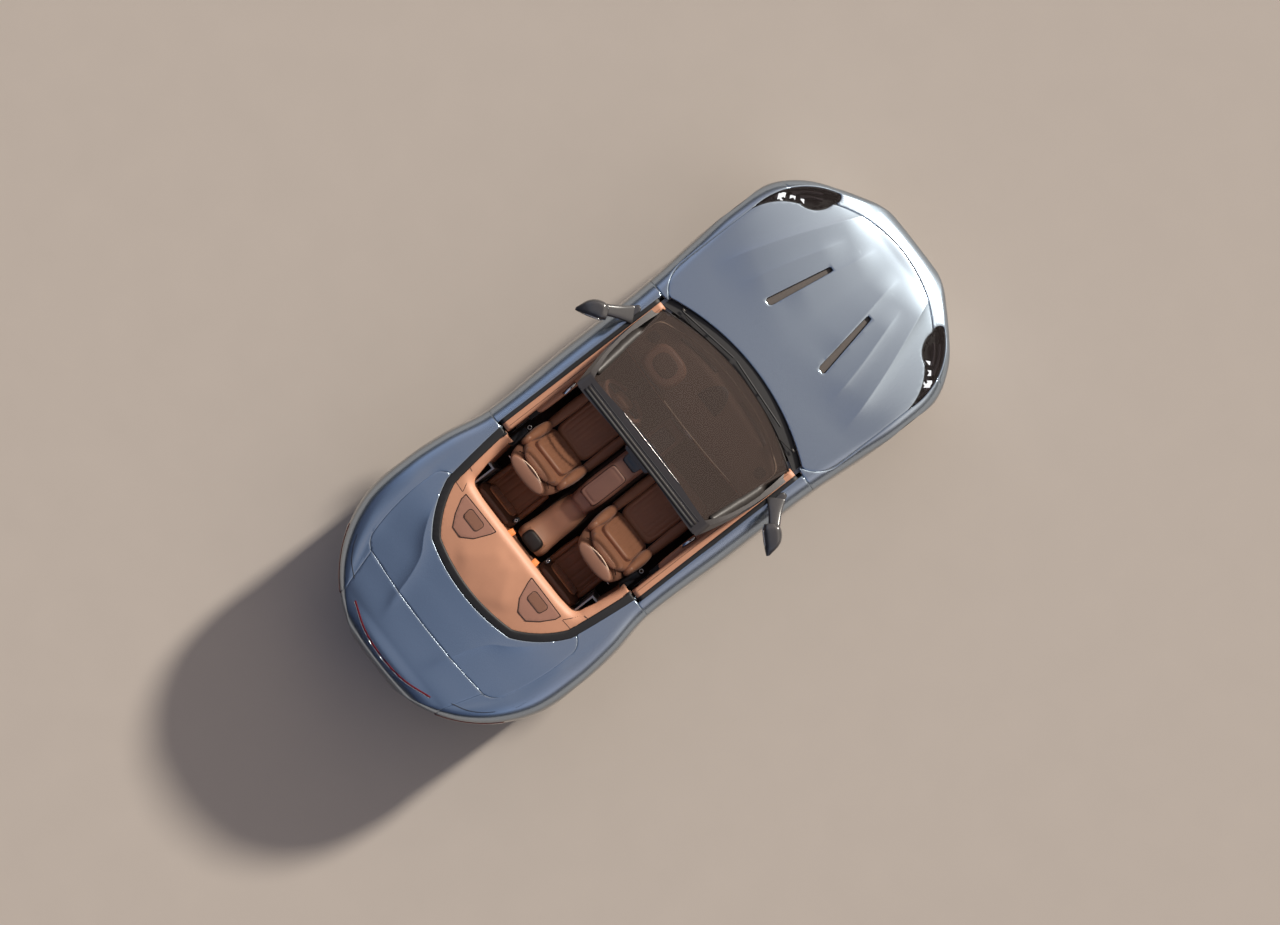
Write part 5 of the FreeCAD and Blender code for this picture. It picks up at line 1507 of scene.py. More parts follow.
@dataclass
class Seats:
    """The front and rear seats as stuffed pads with sewn flutes and piping.

    Args:
        back: Height, half width, half depth and middle of the front seat's leather back, ring by ring.
        shell: The same of the panel behind it.
        wing: The same of the back's side bolster.
        head: The same of the head restraint's front pad.
        rear_back: The same of a rear seat's back.
    """

    back: tuple = (
        (0.385, 0.17, 0.052, 0.438), (0.52, 0.192, 0.05, 0.505), (0.7, 0.196, 0.046, 0.574),
        (0.79, 0.176, 0.044, 0.606), (0.87, 0.14, 0.036, 0.628))
    shell: tuple = (
        (0.34, 0.198, 0.022, 0.478), (0.52, 0.214, 0.028, 0.552), (0.74, 0.212, 0.044, 0.65),
        (0.85, 0.194, 0.054, 0.694), (0.925, 0.176, 0.058, 0.716), (0.985, 0.156, 0.05, 0.724))
    wing: tuple = (
        (0.4, 0.03, 0.044, 0.43), (0.52, 0.04, 0.064, 0.464), (0.68, 0.038, 0.062, 0.53), (0.78, 0.026, 0.042, 0.588))
    head: tuple = ((0.83, 0.152, 0.034, 0.61), (0.905, 0.142, 0.034, 0.626), (0.968, 0.118, 0.026, 0.642))
    rear_back: tuple = (
        (0.33, 0.18, 0.036, 1.024), (0.56, 0.182, 0.038, 1.026), (0.72, 0.176, 0.036, 1.034), (0.79, 0.15, 0.024, 1.044)
    )

    def build(self) -> None:
        """Makes all four seats."""
        for side in Side:
            self.front(side)
            self.rear(side)

    def front(self, side: Side) -> None:
        """One front seat: base, cushion with its bolsters, fluted back, wings, head restraint and rear panel."""
        x, n = side.value * SEAT_X, f"front_seat_{side.word}"
        here = placed((x, 0, 0))
        rail = ((0.166, 0.02, 0.225, 0.19), (0.176, 0.02, 0.225, 0.19))
        base = join(
            n + "_base",
            [
                stack(
                    "base", ((0.168, 0.185, 0.205, 0.19), (0.3, 0.212, 0.24, 0.176)), BLACK, 6.0, (0.002, 0.002),
                    place=here),
                *(stack("rail", rail, STEEL, 6.0, (0.001, 0.001), place=placed((x + dx, 0, 0))) for dx in (-0.15, 0.15))
            ]
        )
        back_panel = stack(n + "_rear_panel", self.shell, PANEL, 2.2, (0.004, 0.012), place=here)
        cushion = crowned(
            n + "_cushion", (0.16, 0.238), 0.105, BROWN, placed((x, 0.17, 0.3), (3, 0, 0)), channels=9, crown=0.01,
            square=7)
        front_roll = stack("roll", ((-0.185, 0.03, 0.046, 0), (0.185, 0.03, 0.046, 0)), BROWN, 2.6, (0.03, 0.03),
                           place=placed((x, -0.062, 0.382), (0, 90, 0)))
        pads = [cushion, front_roll]
        flutes = crowned(
            "flutes", (0.15, 0.215), 0.045, BROWN, placed((x, 0.505, 0.6), (70, 0, 0)), channels=9, crown=0.008,
            edge=0.018, seam=0.02, square=6)
        pads += [stack("back", self.back, BROWN, 3.2, (0.004, 0.02), place=here), flutes]
        for s in (-1, 1):
            pads.append(stack("wing", self.wing, BROWN, 2.5, (0.01, 0.03), place=placed((x + s * 0.196, 0, 0))))
            pads.append(stack(
                "bolster", ((-0.215, 0.026, 0.03, 0.0), (0.0, 0.04, 0.036, 0.006), (0.225, 0.034, 0.034, 0.0)), BROWN,
                2.6, (0.03, 0.03), place=placed((x + s * 0.2, 0.165, 0.396), (-90 + 4, 0, 0))))
        pads.append(stack("head", self.head, BROWN, 2.8, (0.004, 0.02), place=here))
        whole = join(n + "_pads", pads)
        piping = join(
            n + "_piping", [self.piping(x, 0.03, 0.005, PIPING, 0.0), self.piping(x, -0.014, 0.0028, SEAM, -0.022)])
        hook = tube(n + "_hook", ring_points((x + side.value * 0.172, 0.748, 0.815), 0.0125), 0.0035, CHROME, 8)
        for o in (base, back_panel, whole, piping, hook):
            seat(o, "body", "front_seats")

    def piping(self, x: float, behind: float, radius: float, finish: Finish, up: float) -> Piece:
        """The cord sewn over the top of the head restraint, between its pad and the rear panel."""
        route = [
            (x + 0.16 * t, 0.638 + behind + 0.044 * t * t, 0.996 - 0.05 * t * t + up) for t in np.linspace(-1, 1, 25)]
        return tube("cord", route, radius, finish, 10)

    def rear(self, side: Side) -> None:
        """One small rear seat: a cushion, a fluted back whose upper form carries painted shade, and the side pads
        between them.
        """
        x, n = side.value * 0.345, f"rear_seat_{side.word}"
        cushion = crowned(
            "cushion", (0.165, 0.15), 0.23, DEEP_BROWN, placed((x, 0.88, 0.165), (4, 0, 0)), channels=5, crown=0.012,
            square=5)
        # The back gets the darker finish: painted shade for the shadow the front seats cast on it.
        back = stack("back", self.rear_back, SHADED_REAR_BACK, 3.4, (0.004, 0.016), place=placed((x, 0, 0)))
        flutes = crowned(
            "flutes", (0.13, 0.165), 0.02, DEEP_BROWN, placed((x, 0.998, 0.56), (86, 0, 0)), channels=5, crown=0.006,
            edge=0.012, seam=0.014)
        parts = [cushion, back, flutes]
        for s in (-1, 1):
            parts.append(stack(
                "side", ((-0.13, 0.018, 0.026, 0.0), (0.0, 0.024, 0.032, 0.004), (0.13, 0.02, 0.028, 0.0)), DEEP_BROWN,
                2.6, (0.02, 0.02), place=placed((x + s * 0.16, 0.875, 0.395), (-90, 0, 0))))
        pads = join(n + "_pads", parts)
        seat(pads, "body", "rear_seats")


def height_sheet(
    name: str, xs: np.ndarray, ys: np.ndarray, height: Callable[[float, float], float], finish: Finish,
    thick: float = 0.01, keep: Field | None = None
) -> Piece:
    """A sheet over a plan grid with a height for each point.

    Args:
        name: Object name.
        xs: Stations across.
        ys: Stations along.
        height: Height over a plan point.
        finish: Its finish.
        thick: Its thickness, downwards.
        keep: Positive over the plan points that the sheet covers, or None for all.

    Returns:
        The object.
    """
    points = np.array([(x, y, height(x, y)) for y in ys for x in xs])
    shown = keep(points) > 0 if keep else np.ones(len(points), bool)
    faces = [f for f in grid_faces(len(ys), len(xs)) if all(shown[i] for i in f)]
    return thickened(make_mesh(name, points, faces, finish), thick)


def ridge_body(
    name: str, rows: Sequence[Point], bottom: float, finish: Finish, steps: int = 40, square: float = 4.0
) -> Piece:
    """A long closed body with a rounded top, such as a console or a tunnel.

    Args:
        name: Object name.
        rows: Place along Y, half width and top of each section.
        bottom: Height of its flat underside.
        finish: Its finish.
        steps: Sections drawn.
        square: How square a section is.

    Returns:
        The object.
    """
    table = np.array(rows, float)
    ys = np.linspace(table[0, 0], table[-1, 0], steps)
    half, top = spline(table[:, 0], table[:, 1], ys), spline(table[:, 0], table[:, 2], ys)
    angle = np.linspace(0, math.pi, 33)
    c, d = np.cos(angle), np.sin(angle)
    across, up = np.sign(c) * np.abs(c) ** (2 / square), np.abs(d) ** (2 / square)
    points, count = [], len(angle)
    last = len(ys) - 1
    for i, y in enumerate(ys):
        end = min(i, last - i)
        shrink = 1.0 if end > 2 else (0.9, 0.965, 0.99)[end]
        for a, b in zip(across, up):
            points.append((
                half[i] * a * shrink, y, bottom + (top[i] - bottom) * (b * (1 if end > 2 else (0.97, 0.99, 0.998)[end]))
            ))
    return make_mesh(name, np.array(points), [f[::-1] for f in capped(len(ys), count)], finish)


@dataclass
class Cabin:
    """The trim of the cockpit: deck, seal, dash, console and what is on them.

    Args:
        form: The body's form.
        maker: What cuts pieces from its skin.
        console_rows: Place, half width and top of the front console's sections.
        tunnel_rows: The same of the tunnel between the rear seats.
    """

    form: BodyForm
    maker: PanelMaker
    console_rows: tuple = (
        (-0.28, 0.098, 0.606), (-0.18, 0.098, 0.638), (0.0, 0.096, 0.622), (0.19, 0.096, 0.638), (0.42, 0.097, 0.646),
        (0.598, 0.088, 0.622))
    tunnel_rows: tuple = (
        (0.56, 0.086, 0.56), (0.7, 0.11, 0.566), (0.86, 0.117, 0.553), (0.93, 0.122, 0.575), (0.985, 0.128, 0.606),
        (1.04, 0.126, 0.6))

    def build(self) -> None:
        """Makes the cockpit's fixed pieces."""
        self.rear_deck()
        self.deck_lines()
        self.seal()
        self.console()
        self.belts()
        self.dash()
        self.mats()

    def rear_deck(self) -> None:
        """The tan deck behind the rear seats, the ledges beside them and the walls below."""
        where = both(UPPER, within_plan(CABIN, -SEAL_WIDTH), beyond(1, DECK_FRONT), outside(within_plan(PIT)))
        deck = self.maker.cut("rear_deck", where, TAN, self.deck_form, drop=0.022, thick=0.012)
        seat(deck, "body", "cockpit_trim")
        line = [q for q in smooth_run(PIT, 140) if q[1] > DOOR_REAR + 0.006]
        points = []
        for x, y in line:
            high = self.form.height(x, y) - 0.054
            for share in (0.0, 0.12, 0.5, 1.0):
                points.append((x * (1 - 0.02 * share), y, high - share * (high - 0.4)))
        wall = thickened(make_mesh("pit_wall", np.array(points), grid_faces(len(line), 4), TAN), 0.006, 0)
        seat(wall, "body")

    def deck_form(self, points: np.ndarray) -> np.ndarray:
        """The deck's facets, and its edge rolled down into the pit."""
        over = np.clip(1 + within_plan(PIT)(points) / 0.05, 0, 1)
        return ridges(*DECK_FACETS)(points) - 0.036 * over * over

    def deck_lines(self) -> None:
        """The speaker pods with their dark outlines and insets, and the thin joints in the deck."""
        pod, inset, made = outline(SPEAKER_POD), POD_INSET, []
        for name, shape, finish, drop, thick in (
            ("speaker_pod", pod, LILAC, 0.014, 0.006), ("pod_inset", inset, PANEL, 0.0115, 0.005)
        ):
            left = self.maker.cut(
                name + "_left", both(UPPER, within_plan(shape, -0.001)), finish, self.deck_form, drop=drop, thick=thick)
            made += [left, mirror_copy(left, name + "_right")]
        traces = [("pod_edge", pod, 0.003, -0.007, True), ("inset_edge", inset, 0.0022, -0.0055, True)]
        traces += [(f"deck_joint_{k}", line, 0.0022, -0.009, False) for k, line in enumerate(DECK_LINES)]
        for name, line, half, up, closed in traces:
            left = self.maker.trace(name + "_left", line, half, SEAM, up, self.deck_form, closed)
            made += [left, mirror_copy(left, name + "_right")]
        for piece in made:
            seat(piece, "body")

    def seal(self) -> None:
        """The black rubber band round the back of the cockpit."""
        where = both(UPPER, within_plan(CABIN, -0.002), outside(within_plan(CABIN, -SEAL_WIDTH)), beyond(1, DECK_FRONT))
        rubber = self.maker.cut("rear_seal", where, RUBBER, drop=0.006, thick=0.01)
        seat(rubber, "body", "cockpit_seal")

    def console(self) -> None:
        """The console between the front seats with its lid, and the tunnel and dark cap behind it."""
        body = ridge_body("console_body", self.console_rows, 0.425, LILAC, square=5.0)
        lid = crowned(
            "console_lid", (0.072, 0.15), 0.02, LILAC, placed((0, 0.372, 0.634), (-1.5, 0, 0)), crown=0.006, edge=0.01,
            seam=0.012, square=9, cells=40)
        gap = crowned(
            "lid_gap", (0.076, 0.154), 0.008, BLACK, placed((0, 0.372, 0.632), (-1.5, 0, 0)), crown=0.003, edge=0.006,
            seam=0.01, square=9, cells=30)
        deck = crowned(
            "console_deck", (0.07, 0.19), 0.012, BLACK_GLOSS, placed((0, -0.03, 0.63)), crown=0.004, edge=0.008,
            seam=0.01, square=8, cells=30)
        knob = stack(
            "selector", ((0.64, 0.022, 0.022, -0.06), (0.66, 0.019, 0.019, -0.06)), CHROME, 2.2, (0.002, 0.004))
        tunnel = ridge_body("tunnel", self.tunnel_rows, 0.425, TAN, square=3.2)
        collar = ridge_body(
            "cap_collar", ((0.94, 0.098, 0.608), (0.985, 0.106, 0.622), (1.04, 0.104, 0.616)), 0.425, TAN, square=3.6)
        cap = stack(
            "console_cap", ((0.54, 0.07, 0.05, 0.993), (0.64, 0.076, 0.055, 0.993), (0.66, 0.066, 0.048, 0.993)),
            BLACK_SOFT, 3.6, (0.004, 0.01))
        group = join("console", [body, lid, gap, deck, knob, tunnel, collar, cap])
        seat(group, "body", "centre_console")

    def belts(self) -> None:
        """The orange belt ends with bright loops and dark buckles, and the front belts' guides beside the seats."""
        parts = []
        for s in (-1, 1):
            tab = placed((s * 0.131, 1.062, 0.868), (24, 0, s * -8))
            strap = placed((s * 0.615, 0.62, 0.8), (-14, s * 20, 0))
            parts.append(crowned(
                "tab", (0.024, 0.036), 0.006, ORANGE, tab, crown=0.001, edge=0.003, seam=0.004, square=8, cells=20))
            for dx in (0.022, -0.022):
                parts.append(tube(
                    "loop", ring_points((s * 0.131 + dx, 1.062 + 0.046, 0.893), 0.008, flat=True), 0.0026, CHROME, 8))
            parts += [
                stack(
                    "buckle", ((0.7, 0.016, 0.024, 0.985), (0.752, 0.015, 0.022, 0.985)), BLACK, 4.0, (0.002, 0.004),
                    place=placed((s * 0.176, 0, 0))),
                tube("ring", ring_points((s * 0.176, 0.985, 0.76), 0.009, flat=True), 0.0025, CHROME, 8),
                crowned(
                    "strap", (0.023, 0.08), 0.004, BLACK, strap, crown=0.001, edge=0.002, seam=0.003, square=8, cells=20
                ),
                stack(
                    "reel", ((0.7, 0.022, 0.07, 0.64), (0.795, 0.018, 0.06, 0.64)), BLACK, 3.4, (0.004, 0.006),
                    place=placed((s * 0.628, 0, 0))),
                tube("guide", ring_points((s * 0.62, 0.52, 0.8), 0.013, flat=True), 0.0032, STEEL, 8)]
        belt = join("belts", parts)
        seat(belt, "body")

    def dash(self) -> None:
        """The dash's rolled top with its hood, speaker, slots and tweeters."""
        covered = both(within_plan(CABIN, -0.105), lambda p: -0.3 - 0.034 * (np.abs(p[:, 0]) / 0.65) ** 2 - p[:, 1])

        def top(x: float, y: float) -> float:
            """The dash's height."""
            back = min(1.0, max(0.0, (y + 0.42) / 0.12))
            return 0.869 - 0.026 * (abs(x) / 0.684) ** 2 - 0.014 * back * back

        xs, ys = np.linspace(-0.668, 0.668, 121), np.linspace(-0.83, -0.3, 71)
        pieces = [height_sheet("dash_top", xs, ys, top, DASH, 0.02, covered)]
        lower = [(-0.33, 0.845), (-0.318, 0.82), (-0.312, 0.78), (-0.33, 0.7), (-0.4, 0.64), (-0.52, 0.56)]
        for name, shift, finish in (("dash_face", 0.0, BROWN), ("dash_band", 0.004, TAN)):
            rows = lower if name == "dash_face" else lower[1:3]
            points = [(x, y + shift - 0.026 * (abs(x) / 0.66) ** 2, z - 0.018 * (abs(x) / 0.66) ** 2)
                      for y, z in rows for x in np.linspace(-0.664, 0.664, 41)]
            pieces.append(thickened(make_mesh(name, np.array(points), grid_faces(len(rows), 41), finish), 0.014, 0))
        pieces.append(crowned(
            "screen", (0.148, 0.07), 0.016, BLACK_GLOSS, placed((0, -0.3, 0.775), (90 - 14, 0, 0)), crown=0.0,
            edge=0.006, groove=0.0, square=10, cells=24))
        hood = ((0.8, 0.146, 0.114, -0.45), (0.868, 0.153, 0.128, -0.452), (0.9, 0.138, 0.112, -0.455))
        pieces.append(stack("hood", hood, LILAC, 2.9, (0.002, 0.014), place=placed((0.382, 0, 0))))
        pieces.append(stack(
            "hood_top", ((0.905, 0.096, 0.078, -0.462), (0.914, 0.086, 0.07, -0.462)), DASH, 2.6, (0.002, 0.005),
            place=placed((0.382, 0, 0))))
        pieces.append(stack(
            "dials", ((0.79, 0.12, 0.01, 0.0), (0.88, 0.112, 0.01, 0.0)), BLACK_GLOSS, 5.0, (0.002, 0.004),
            place=placed((0.382, -0.33, 0.0))))
        pieces.append(self.patch(
            "speaker",
            (
                (-0.095, -0.515), (0.095, -0.515), (0.085, -0.61, 0.028, -0.69), (0, -0.697, -0.028, -0.69),
                (-0.085, -0.61, -0.095, -0.515)),
            top, BLACK))
        for s in (-1, 1):
            slot = [(s * (0.13 + 0.33 * t), -0.715 + 0.05 * t * t) for t in np.linspace(0, 1, 12)]
            pieces.append(tube("slot", [(x, y, top(x, y) + 0.002) for x, y in slot], 0.013, BLACK, 10, flat=0.25))
            pieces.append(stack(
                "tweeter", ((top(0.585, -0.525) - 0.01, 0.042, 0.042, 0), (top(0.585, -0.525) + 0.003, 0.04, 0.04, 0)),
                BLACK, 2.4, (0.001, 0.003), place=placed((s * 0.585, -0.525, 0))))
            pieces.append(crowned(
                "vent", (0.062, 0.034), 0.012, BLACK_GLOSS, placed((s * 0.56, -0.338, 0.77), (90 - 10, 0, s * -6)),
                crown=0.0, edge=0.005, groove=0.0, square=5, cells=20))
        rim = [(x, y, top(x, y) + 0.003) for x, y in self.front_line()]
        pieces.append(tube("dash_seam", rim, 0.0032, PIPING, 8))
        pieces.append(tube(
            "dash_trim",
            [(x, -0.309 - 0.034 * (x / 0.65) ** 2, top(x, -0.31) + 0.001) for x in np.linspace(-0.6, 0.2, 40)], 0.0032,
            PIPING, 8))
        pieces.append(tube("dash_glint", [(-0.04, -0.3, 0.858), (-0.125, -0.302, 0.858)], 0.007, CHROME, 10))
        pieces.append(tube("column", [(0.372, -0.36, 0.618), (0.372, -0.145, 0.7187)], 0.042, BLACK, 20))
        group = join("dash", pieces)
        seat(group, "body", "dashboard")

    def front_line(self) -> list[Point]:
        """The sewn line along the dash's front edge, under the screen."""
        half = [(0.0, -0.765), (0.2, -0.757), (0.367, -0.73), (0.52, -0.68), (0.648, -0.606), (0.655, -0.52)]
        line = smooth_line(half, 30)
        return [(-x, y) for x, y in line[::-1]] + [(x, y) for x, y in line[1:]]

    def patch(
        self, name: str, shape: Sequence[Point], height: Callable[[float, float], float], finish: Finish
    ) -> Piece:
        """A flat dark patch with a soft outline laid on a height."""
        count = 48
        loop = smooth_run(outline(shape), count)
        middle = loop.mean(axis=0)
        flat = [middle + (q - middle) * share for share in (1.0, 0.93, 0.5) for q in loop]
        points = [(x, y, height(x, y) + (0.0005 if i < count else 0.0035)) for i, (x, y) in enumerate(flat)]
        points.append((*middle, height(*middle) + 0.004))
        faces = grid_faces(3, count, wrap=True)
        faces += [(2 * count + k, 2 * count + (k + 1) % count, 3 * count) for k in range(count)]
        return make_mesh(name, np.array(points), faces, finish)

    def mats(self) -> None:
        """The footwell mats."""
        mats = [
            crowned(
                f"mat_{side.word}", (0.25, 0.27), 0.01, CARPET, placed((side.value * 0.385, -0.36, 0.164)), crown=0.001,
                edge=0.006, seam=0.012, square=8, cells=30)
            for side in Side]
        group = join("mats", mats)
        seat(group, "body")


def smooth_run(corners: np.ndarray, count: int) -> np.ndarray:
    """Evenly spaced points round a closed outline."""
    loop = np.vstack([corners, corners[:1]])
    u = lengths(loop)
    at = np.linspace(0, u[-1], count, endpoint=False)
    return np.stack([np.interp(at, u, loop[:, c]) for c in range(2)], axis=1)


# No point of the windscreen's header is lower than this.
HEADER_LOW = 1.0


@dataclass
class Header:
    """The bands and lines on the windscreen's header and pillars.

    Args:
        surface: The CAD frame's top side.
    """

    surface: Surface

    def build(self) -> None:
        """Lays the bands on the header."""
        pieces = []
        for name, y, half, flat, finish in (
            ("header_rubber", 0.06, 0.011, 0.5, RUBBER), ("header_band", 0.032, 0.009, 0.25, BLACK_SOFT),
            ("header_groove", 0.006, 0.0022, 1.0, RUBBER), ("header_line", -0.045, 0.0018, 1.0, STEEL)
        ):
            route = self.surface.drape([(x, y) for x in np.linspace(-0.575, 0.575, 60)], 0.0005, HEADER_LOW)
            pieces.append(tube(name, route, half, finish, 10, flat))
        pieces += [self.edge_band(s) for s in (-1, 1)]
        group = join("header_bands", pieces)
        seat(group, "body")

    def edge_band(self, s: int) -> Piece:
        """The dark band that fills the place between the glass and a pillar.

        Args:
            s: Side of the car.

        Returns:
            The object.
        """
        glass, points = Surface("windscreen"), []
        ys = np.linspace(-0.8, -0.07, 40)
        for y in ys:
            xs = np.linspace(0.45, 0.8, 141)
            on_glass = [x for x in xs if glass.top(s * x, y, -1.0) > 0]
            on_frame = [x for x in xs if self.surface.top(s * x, y, -1.0) > 0]
            inner = max(on_glass) if on_glass else 0.6
            outer = min(
                x for x in on_frame if x > inner - 0.02) if on_frame and max(on_frame) > inner - 0.02 else inner + 0.01
            a, b = inner - 0.012, max(outer + 0.004, inner + 0.002)
            za, zb = glass.top(s * (inner - 0.003), y) + 0.001, self.surface.top(s * (outer + 0.003), y) - 0.001
            for t in (0.0, 0.5, 1.0):
                points.append((s * (a + (b - a) * t), y, za + (zb - za) * t))
        return thickened(make_mesh("edge_band", np.array(points), grid_faces(len(ys), 3), BLACK_SOFT), 0.003, 0)


@dataclass
class SteeringWheel:
    """The steering wheel's rim, pad and spokes.

    Args:
        centre: Its middle.
        tilt: How far it leans back, in degrees.
    """

    centre: Point = (0.372, -0.095, 0.742)
    tilt: float = 25.0

    def build(self) -> None:
        """Makes the wheel's rim, pad and spokes and puts them on its body."""
        sides, around, radius, thick = 14, 72, 0.169, 0.0155
        points = []
        for i in range(around):
            a = 2 * math.pi * i / around
            squash = 1.0 - 0.05 * max(0.0, -math.sin(a)) ** 3
            for k in range(sides):
                b = 2 * math.pi * k / sides
                r = (radius + thick * math.cos(b)) * squash
                points.append((r * math.cos(a), r * math.sin(a), thick * 0.86 * math.sin(b)))
        faces = []
        for i in range(around):
            for k in range(sides):
                j, m = (i + 1) % around, (k + 1) % sides
                faces.append((i * sides + k, j * sides + k, j * sides + m, i * sides + m))
        parts = [
            make_mesh("rim", np.array(points), faces, LILAC),
            pillow("pad", (0, -0.004, 0.0), (0.15, 0.115, 0.052), BROWN)]
        for turn in (0, 180):
            parts.append(pillow(
                "spoke", (0.108 * math.cos(math.radians(turn)), -0.006, -0.004), (0.115, 0.034, 0.014), VANE,
                (0, 0, turn), square=5))
        parts.append(pillow("spoke_low", (0, -0.105, -0.006), (0.036, 0.105, 0.014), VANE, square=5))
        wheel = join("steering_wheel_trim", parts)
        wheel.data.transform(placed(self.centre, (90 - self.tilt, 0, 0)))
        seat(wheel, "steering_wheel_body", "steering_wheel")


@dataclass
class Mirrors:
    """The door mirrors: a dark wedge of a head with its glass, swept back on a broad foot.

    Args:
        head: Place along the head, half height, half depth and middle of each ring.
        turn: How far the head is swept back, in degrees.
        root: Where the head starts.
    """

    head: tuple = (
        (0.0, 0.04, 0.044, 0.004), (0.04, 0.058, 0.062, 0.0), (0.1, 0.058, 0.064, 0.002), (0.158, 0.044, 0.048, 0.016),
        (0.212, 0.01, 0.012, 0.046))
    turn: float = 31.0
    root: Point = (0.894, -0.3705, 0.965)

    def build(self) -> None:
        """Makes both mirrors."""
        place = placed(self.root, (0, 90, self.turn))
        head = stack("head", self.head, CHARCOAL_GLOSS, 3.0, (0.004, 0.003), place=place)
        slant = math.radians(self.turn)
        ahead, out = Vector((-math.sin(slant), math.cos(slant), 0)), Vector((math.cos(slant), math.sin(slant), 0))
        middle = Vector(self.root) + out * 0.088 + ahead * 0.0585
        glass = crowned(
            "glass", (0.066, 0.046), 0.005, CHROME, placed(middle, (-90, 0, self.turn)), crown=0.0, edge=0.002,
            groove=0.0, square=4, cells=24)
        lamp = stack(
            "repeater", ((0.07, 0.004, 0.004, -0.058), (0.076, 0.004, 0.004, -0.058)), LIGHT_BAR, 2.0, (0.002, 0.002),
            place=place)
        start, end = Vector((0.79, -0.5, 0.897)), Vector((0.925, -0.375, 0.958))
        along = (end - start).normalized()
        across = along.cross(Vector((0, 0, 1))).normalized()
        tall = across.cross(along)
        reach = (end - start).length
        frame_of_arm = Matrix((
            (tall.x, across.x, along.x, start.x), (tall.y, across.y, along.y, start.y),
            (tall.z, across.z, along.z, start.z), (0, 0, 0, 1)))
        arm = stack(
            "arm", ((0, 0.014, 0.064, 0), (reach * 0.45, 0.019, 0.047, 0), (reach, 0.028, 0.04, 0)), CHARCOAL_GLOSS,
            2.6, (0.01, 0.01), place=frame_of_arm)
        foot = stack(
            "foot", ((-0.01, 0.034, 0.078, 0.0), (0.006, 0.028, 0.066, 0.0)), CHARCOAL_GLOSS, 2.8, (0.004, 0.006),
            place=placed((0.806, -0.506, 0.893), (0, 14, -4)))
        left = join("mirror_left_shell", [head, glass, lamp, arm, foot])
        right = mirror_copy(left, "mirror_right_shell")
        for side, group in zip(Side, (left, right)):
            seat(group, f"door_{side.word}_body", f"mirror_{side.word}")


@dataclass
class Straps:
    """The hinge straps of the bonnet and boot lid, kept from the CAD panels.

    Args:
        form: The body's form.
    """

    form: BodyForm

    def build(self) -> None:
        """Keeps the faces of each strap and lets the rest stand as a skin."""
        for node, body in (("bonnet", "bonnet_body"), ("boot_lid", "boot_lid_body")):
            strap = salvage(node, node + "_straps", CAST, lambda c, n: (
                c.z < self.form.height(c.x, c.y) - 0.017 and abs(n.z) < 0.999 and self.narrow(node, c)))
            seat(strap, body, node)

    def narrow(self, node: str, c: Vector) -> bool:
        """Whether a point is on a strap."""
        middle = 0.23 if node == "bonnet" else 0.432
        return abs(abs(c.x) - middle) < 0.0085


def dress_cad(skip: set[str]) -> None:
    """Gives every CAD node that shows its finish.

    Args:
        skip: Nodes that something stands for.
    """
    slots = {s["node"]: s["material_slot"] for s in frame["record"]["subparts"]}
    for name, obj in frame["nodes"].items():
        finish = NODE_FINISH.get(name, SLOT_FINISH[slots[name]])
        obj.data.materials.clear()
        obj.data.materials.append(finish.build())
        for polygon in obj.data.polygons:
            polygon.use_smooth = True
        if name not in skip:
            smooth = obj.modifiers.new("weld", "WELD")
            smooth.merge_threshold = 0.0002
            edges = obj.modifiers.new("split", "EDGE_SPLIT")
            edges.split_angle = math.radians(38)


# Stage

# Colour of the sky along the car, from beyond the nose (0) over the top (0.5) to beyond the tail (1), and what it is
# multiplied by from the horizon (0) to straight above (1). The lean turns the first table a little to the left side.
SKY = (
    (0.0, (0.16, 0.14, 0.12)), (0.1, (0.36, 0.32, 0.28)), (0.17, (0.64, 0.57, 0.51)), (0.25, (0.46, 0.4, 0.37)),
    (0.33, (0.21, 0.19, 0.205)), (0.41, (0.215, 0.2, 0.23)), (0.55, (0.22, 0.225, 0.28)), (0.65, (0.155, 0.19, 0.27)),
    (0.7, (0.11, 0.145, 0.22)), (0.74, (0.02, 0.03, 0.06)), (1.0, (0.01, 0.014, 0.028)))
RISE = (
    (0.0, (0.06, 0.05, 0.04)), (0.24, (0.1, 0.08, 0.07)), (0.46, (1.0, 1.0, 1.0)), (0.62, (0.78, 0.78, 0.78)),
    (0.92, (0.52, 0.52, 0.52)))
SKY_LEAN = (0.3, 1.0, 0.0)
SKY_STRENGTH = 2.35
KEY_STRENGTH = 4.9
KEY_COLOR = (1.0, 0.93, 0.84)
KEY_ELEVATION = 24.0
KEY_ASIDE = 1.0


def make_camera() -> None:
    """The camera straight above the car, turned as the photograph is."""
    eye = Vector((-0.03, 0.073, 13.0))
    ahead = math.radians(37.85)
    right = Vector((-math.sin(ahead), -math.cos(ahead), 0))
    up = Vector((math.cos(ahead), -math.sin(ahead), 0))
    data = bpy.data.cameras.new("camera")
    data.sensor_width = 36.0
    data.lens = 50.37
    data.dof.use_dof = False
    camera = linked("camera", data)
    camera.matrix_world = Matrix((
        (right.x, up.x, 0, eye.x), (right.y, up.y, 0, eye.y), (0, 0, 1, eye.z), (0, 0, 0, 1),
    ))
    bpy.context.scene.camera = camera


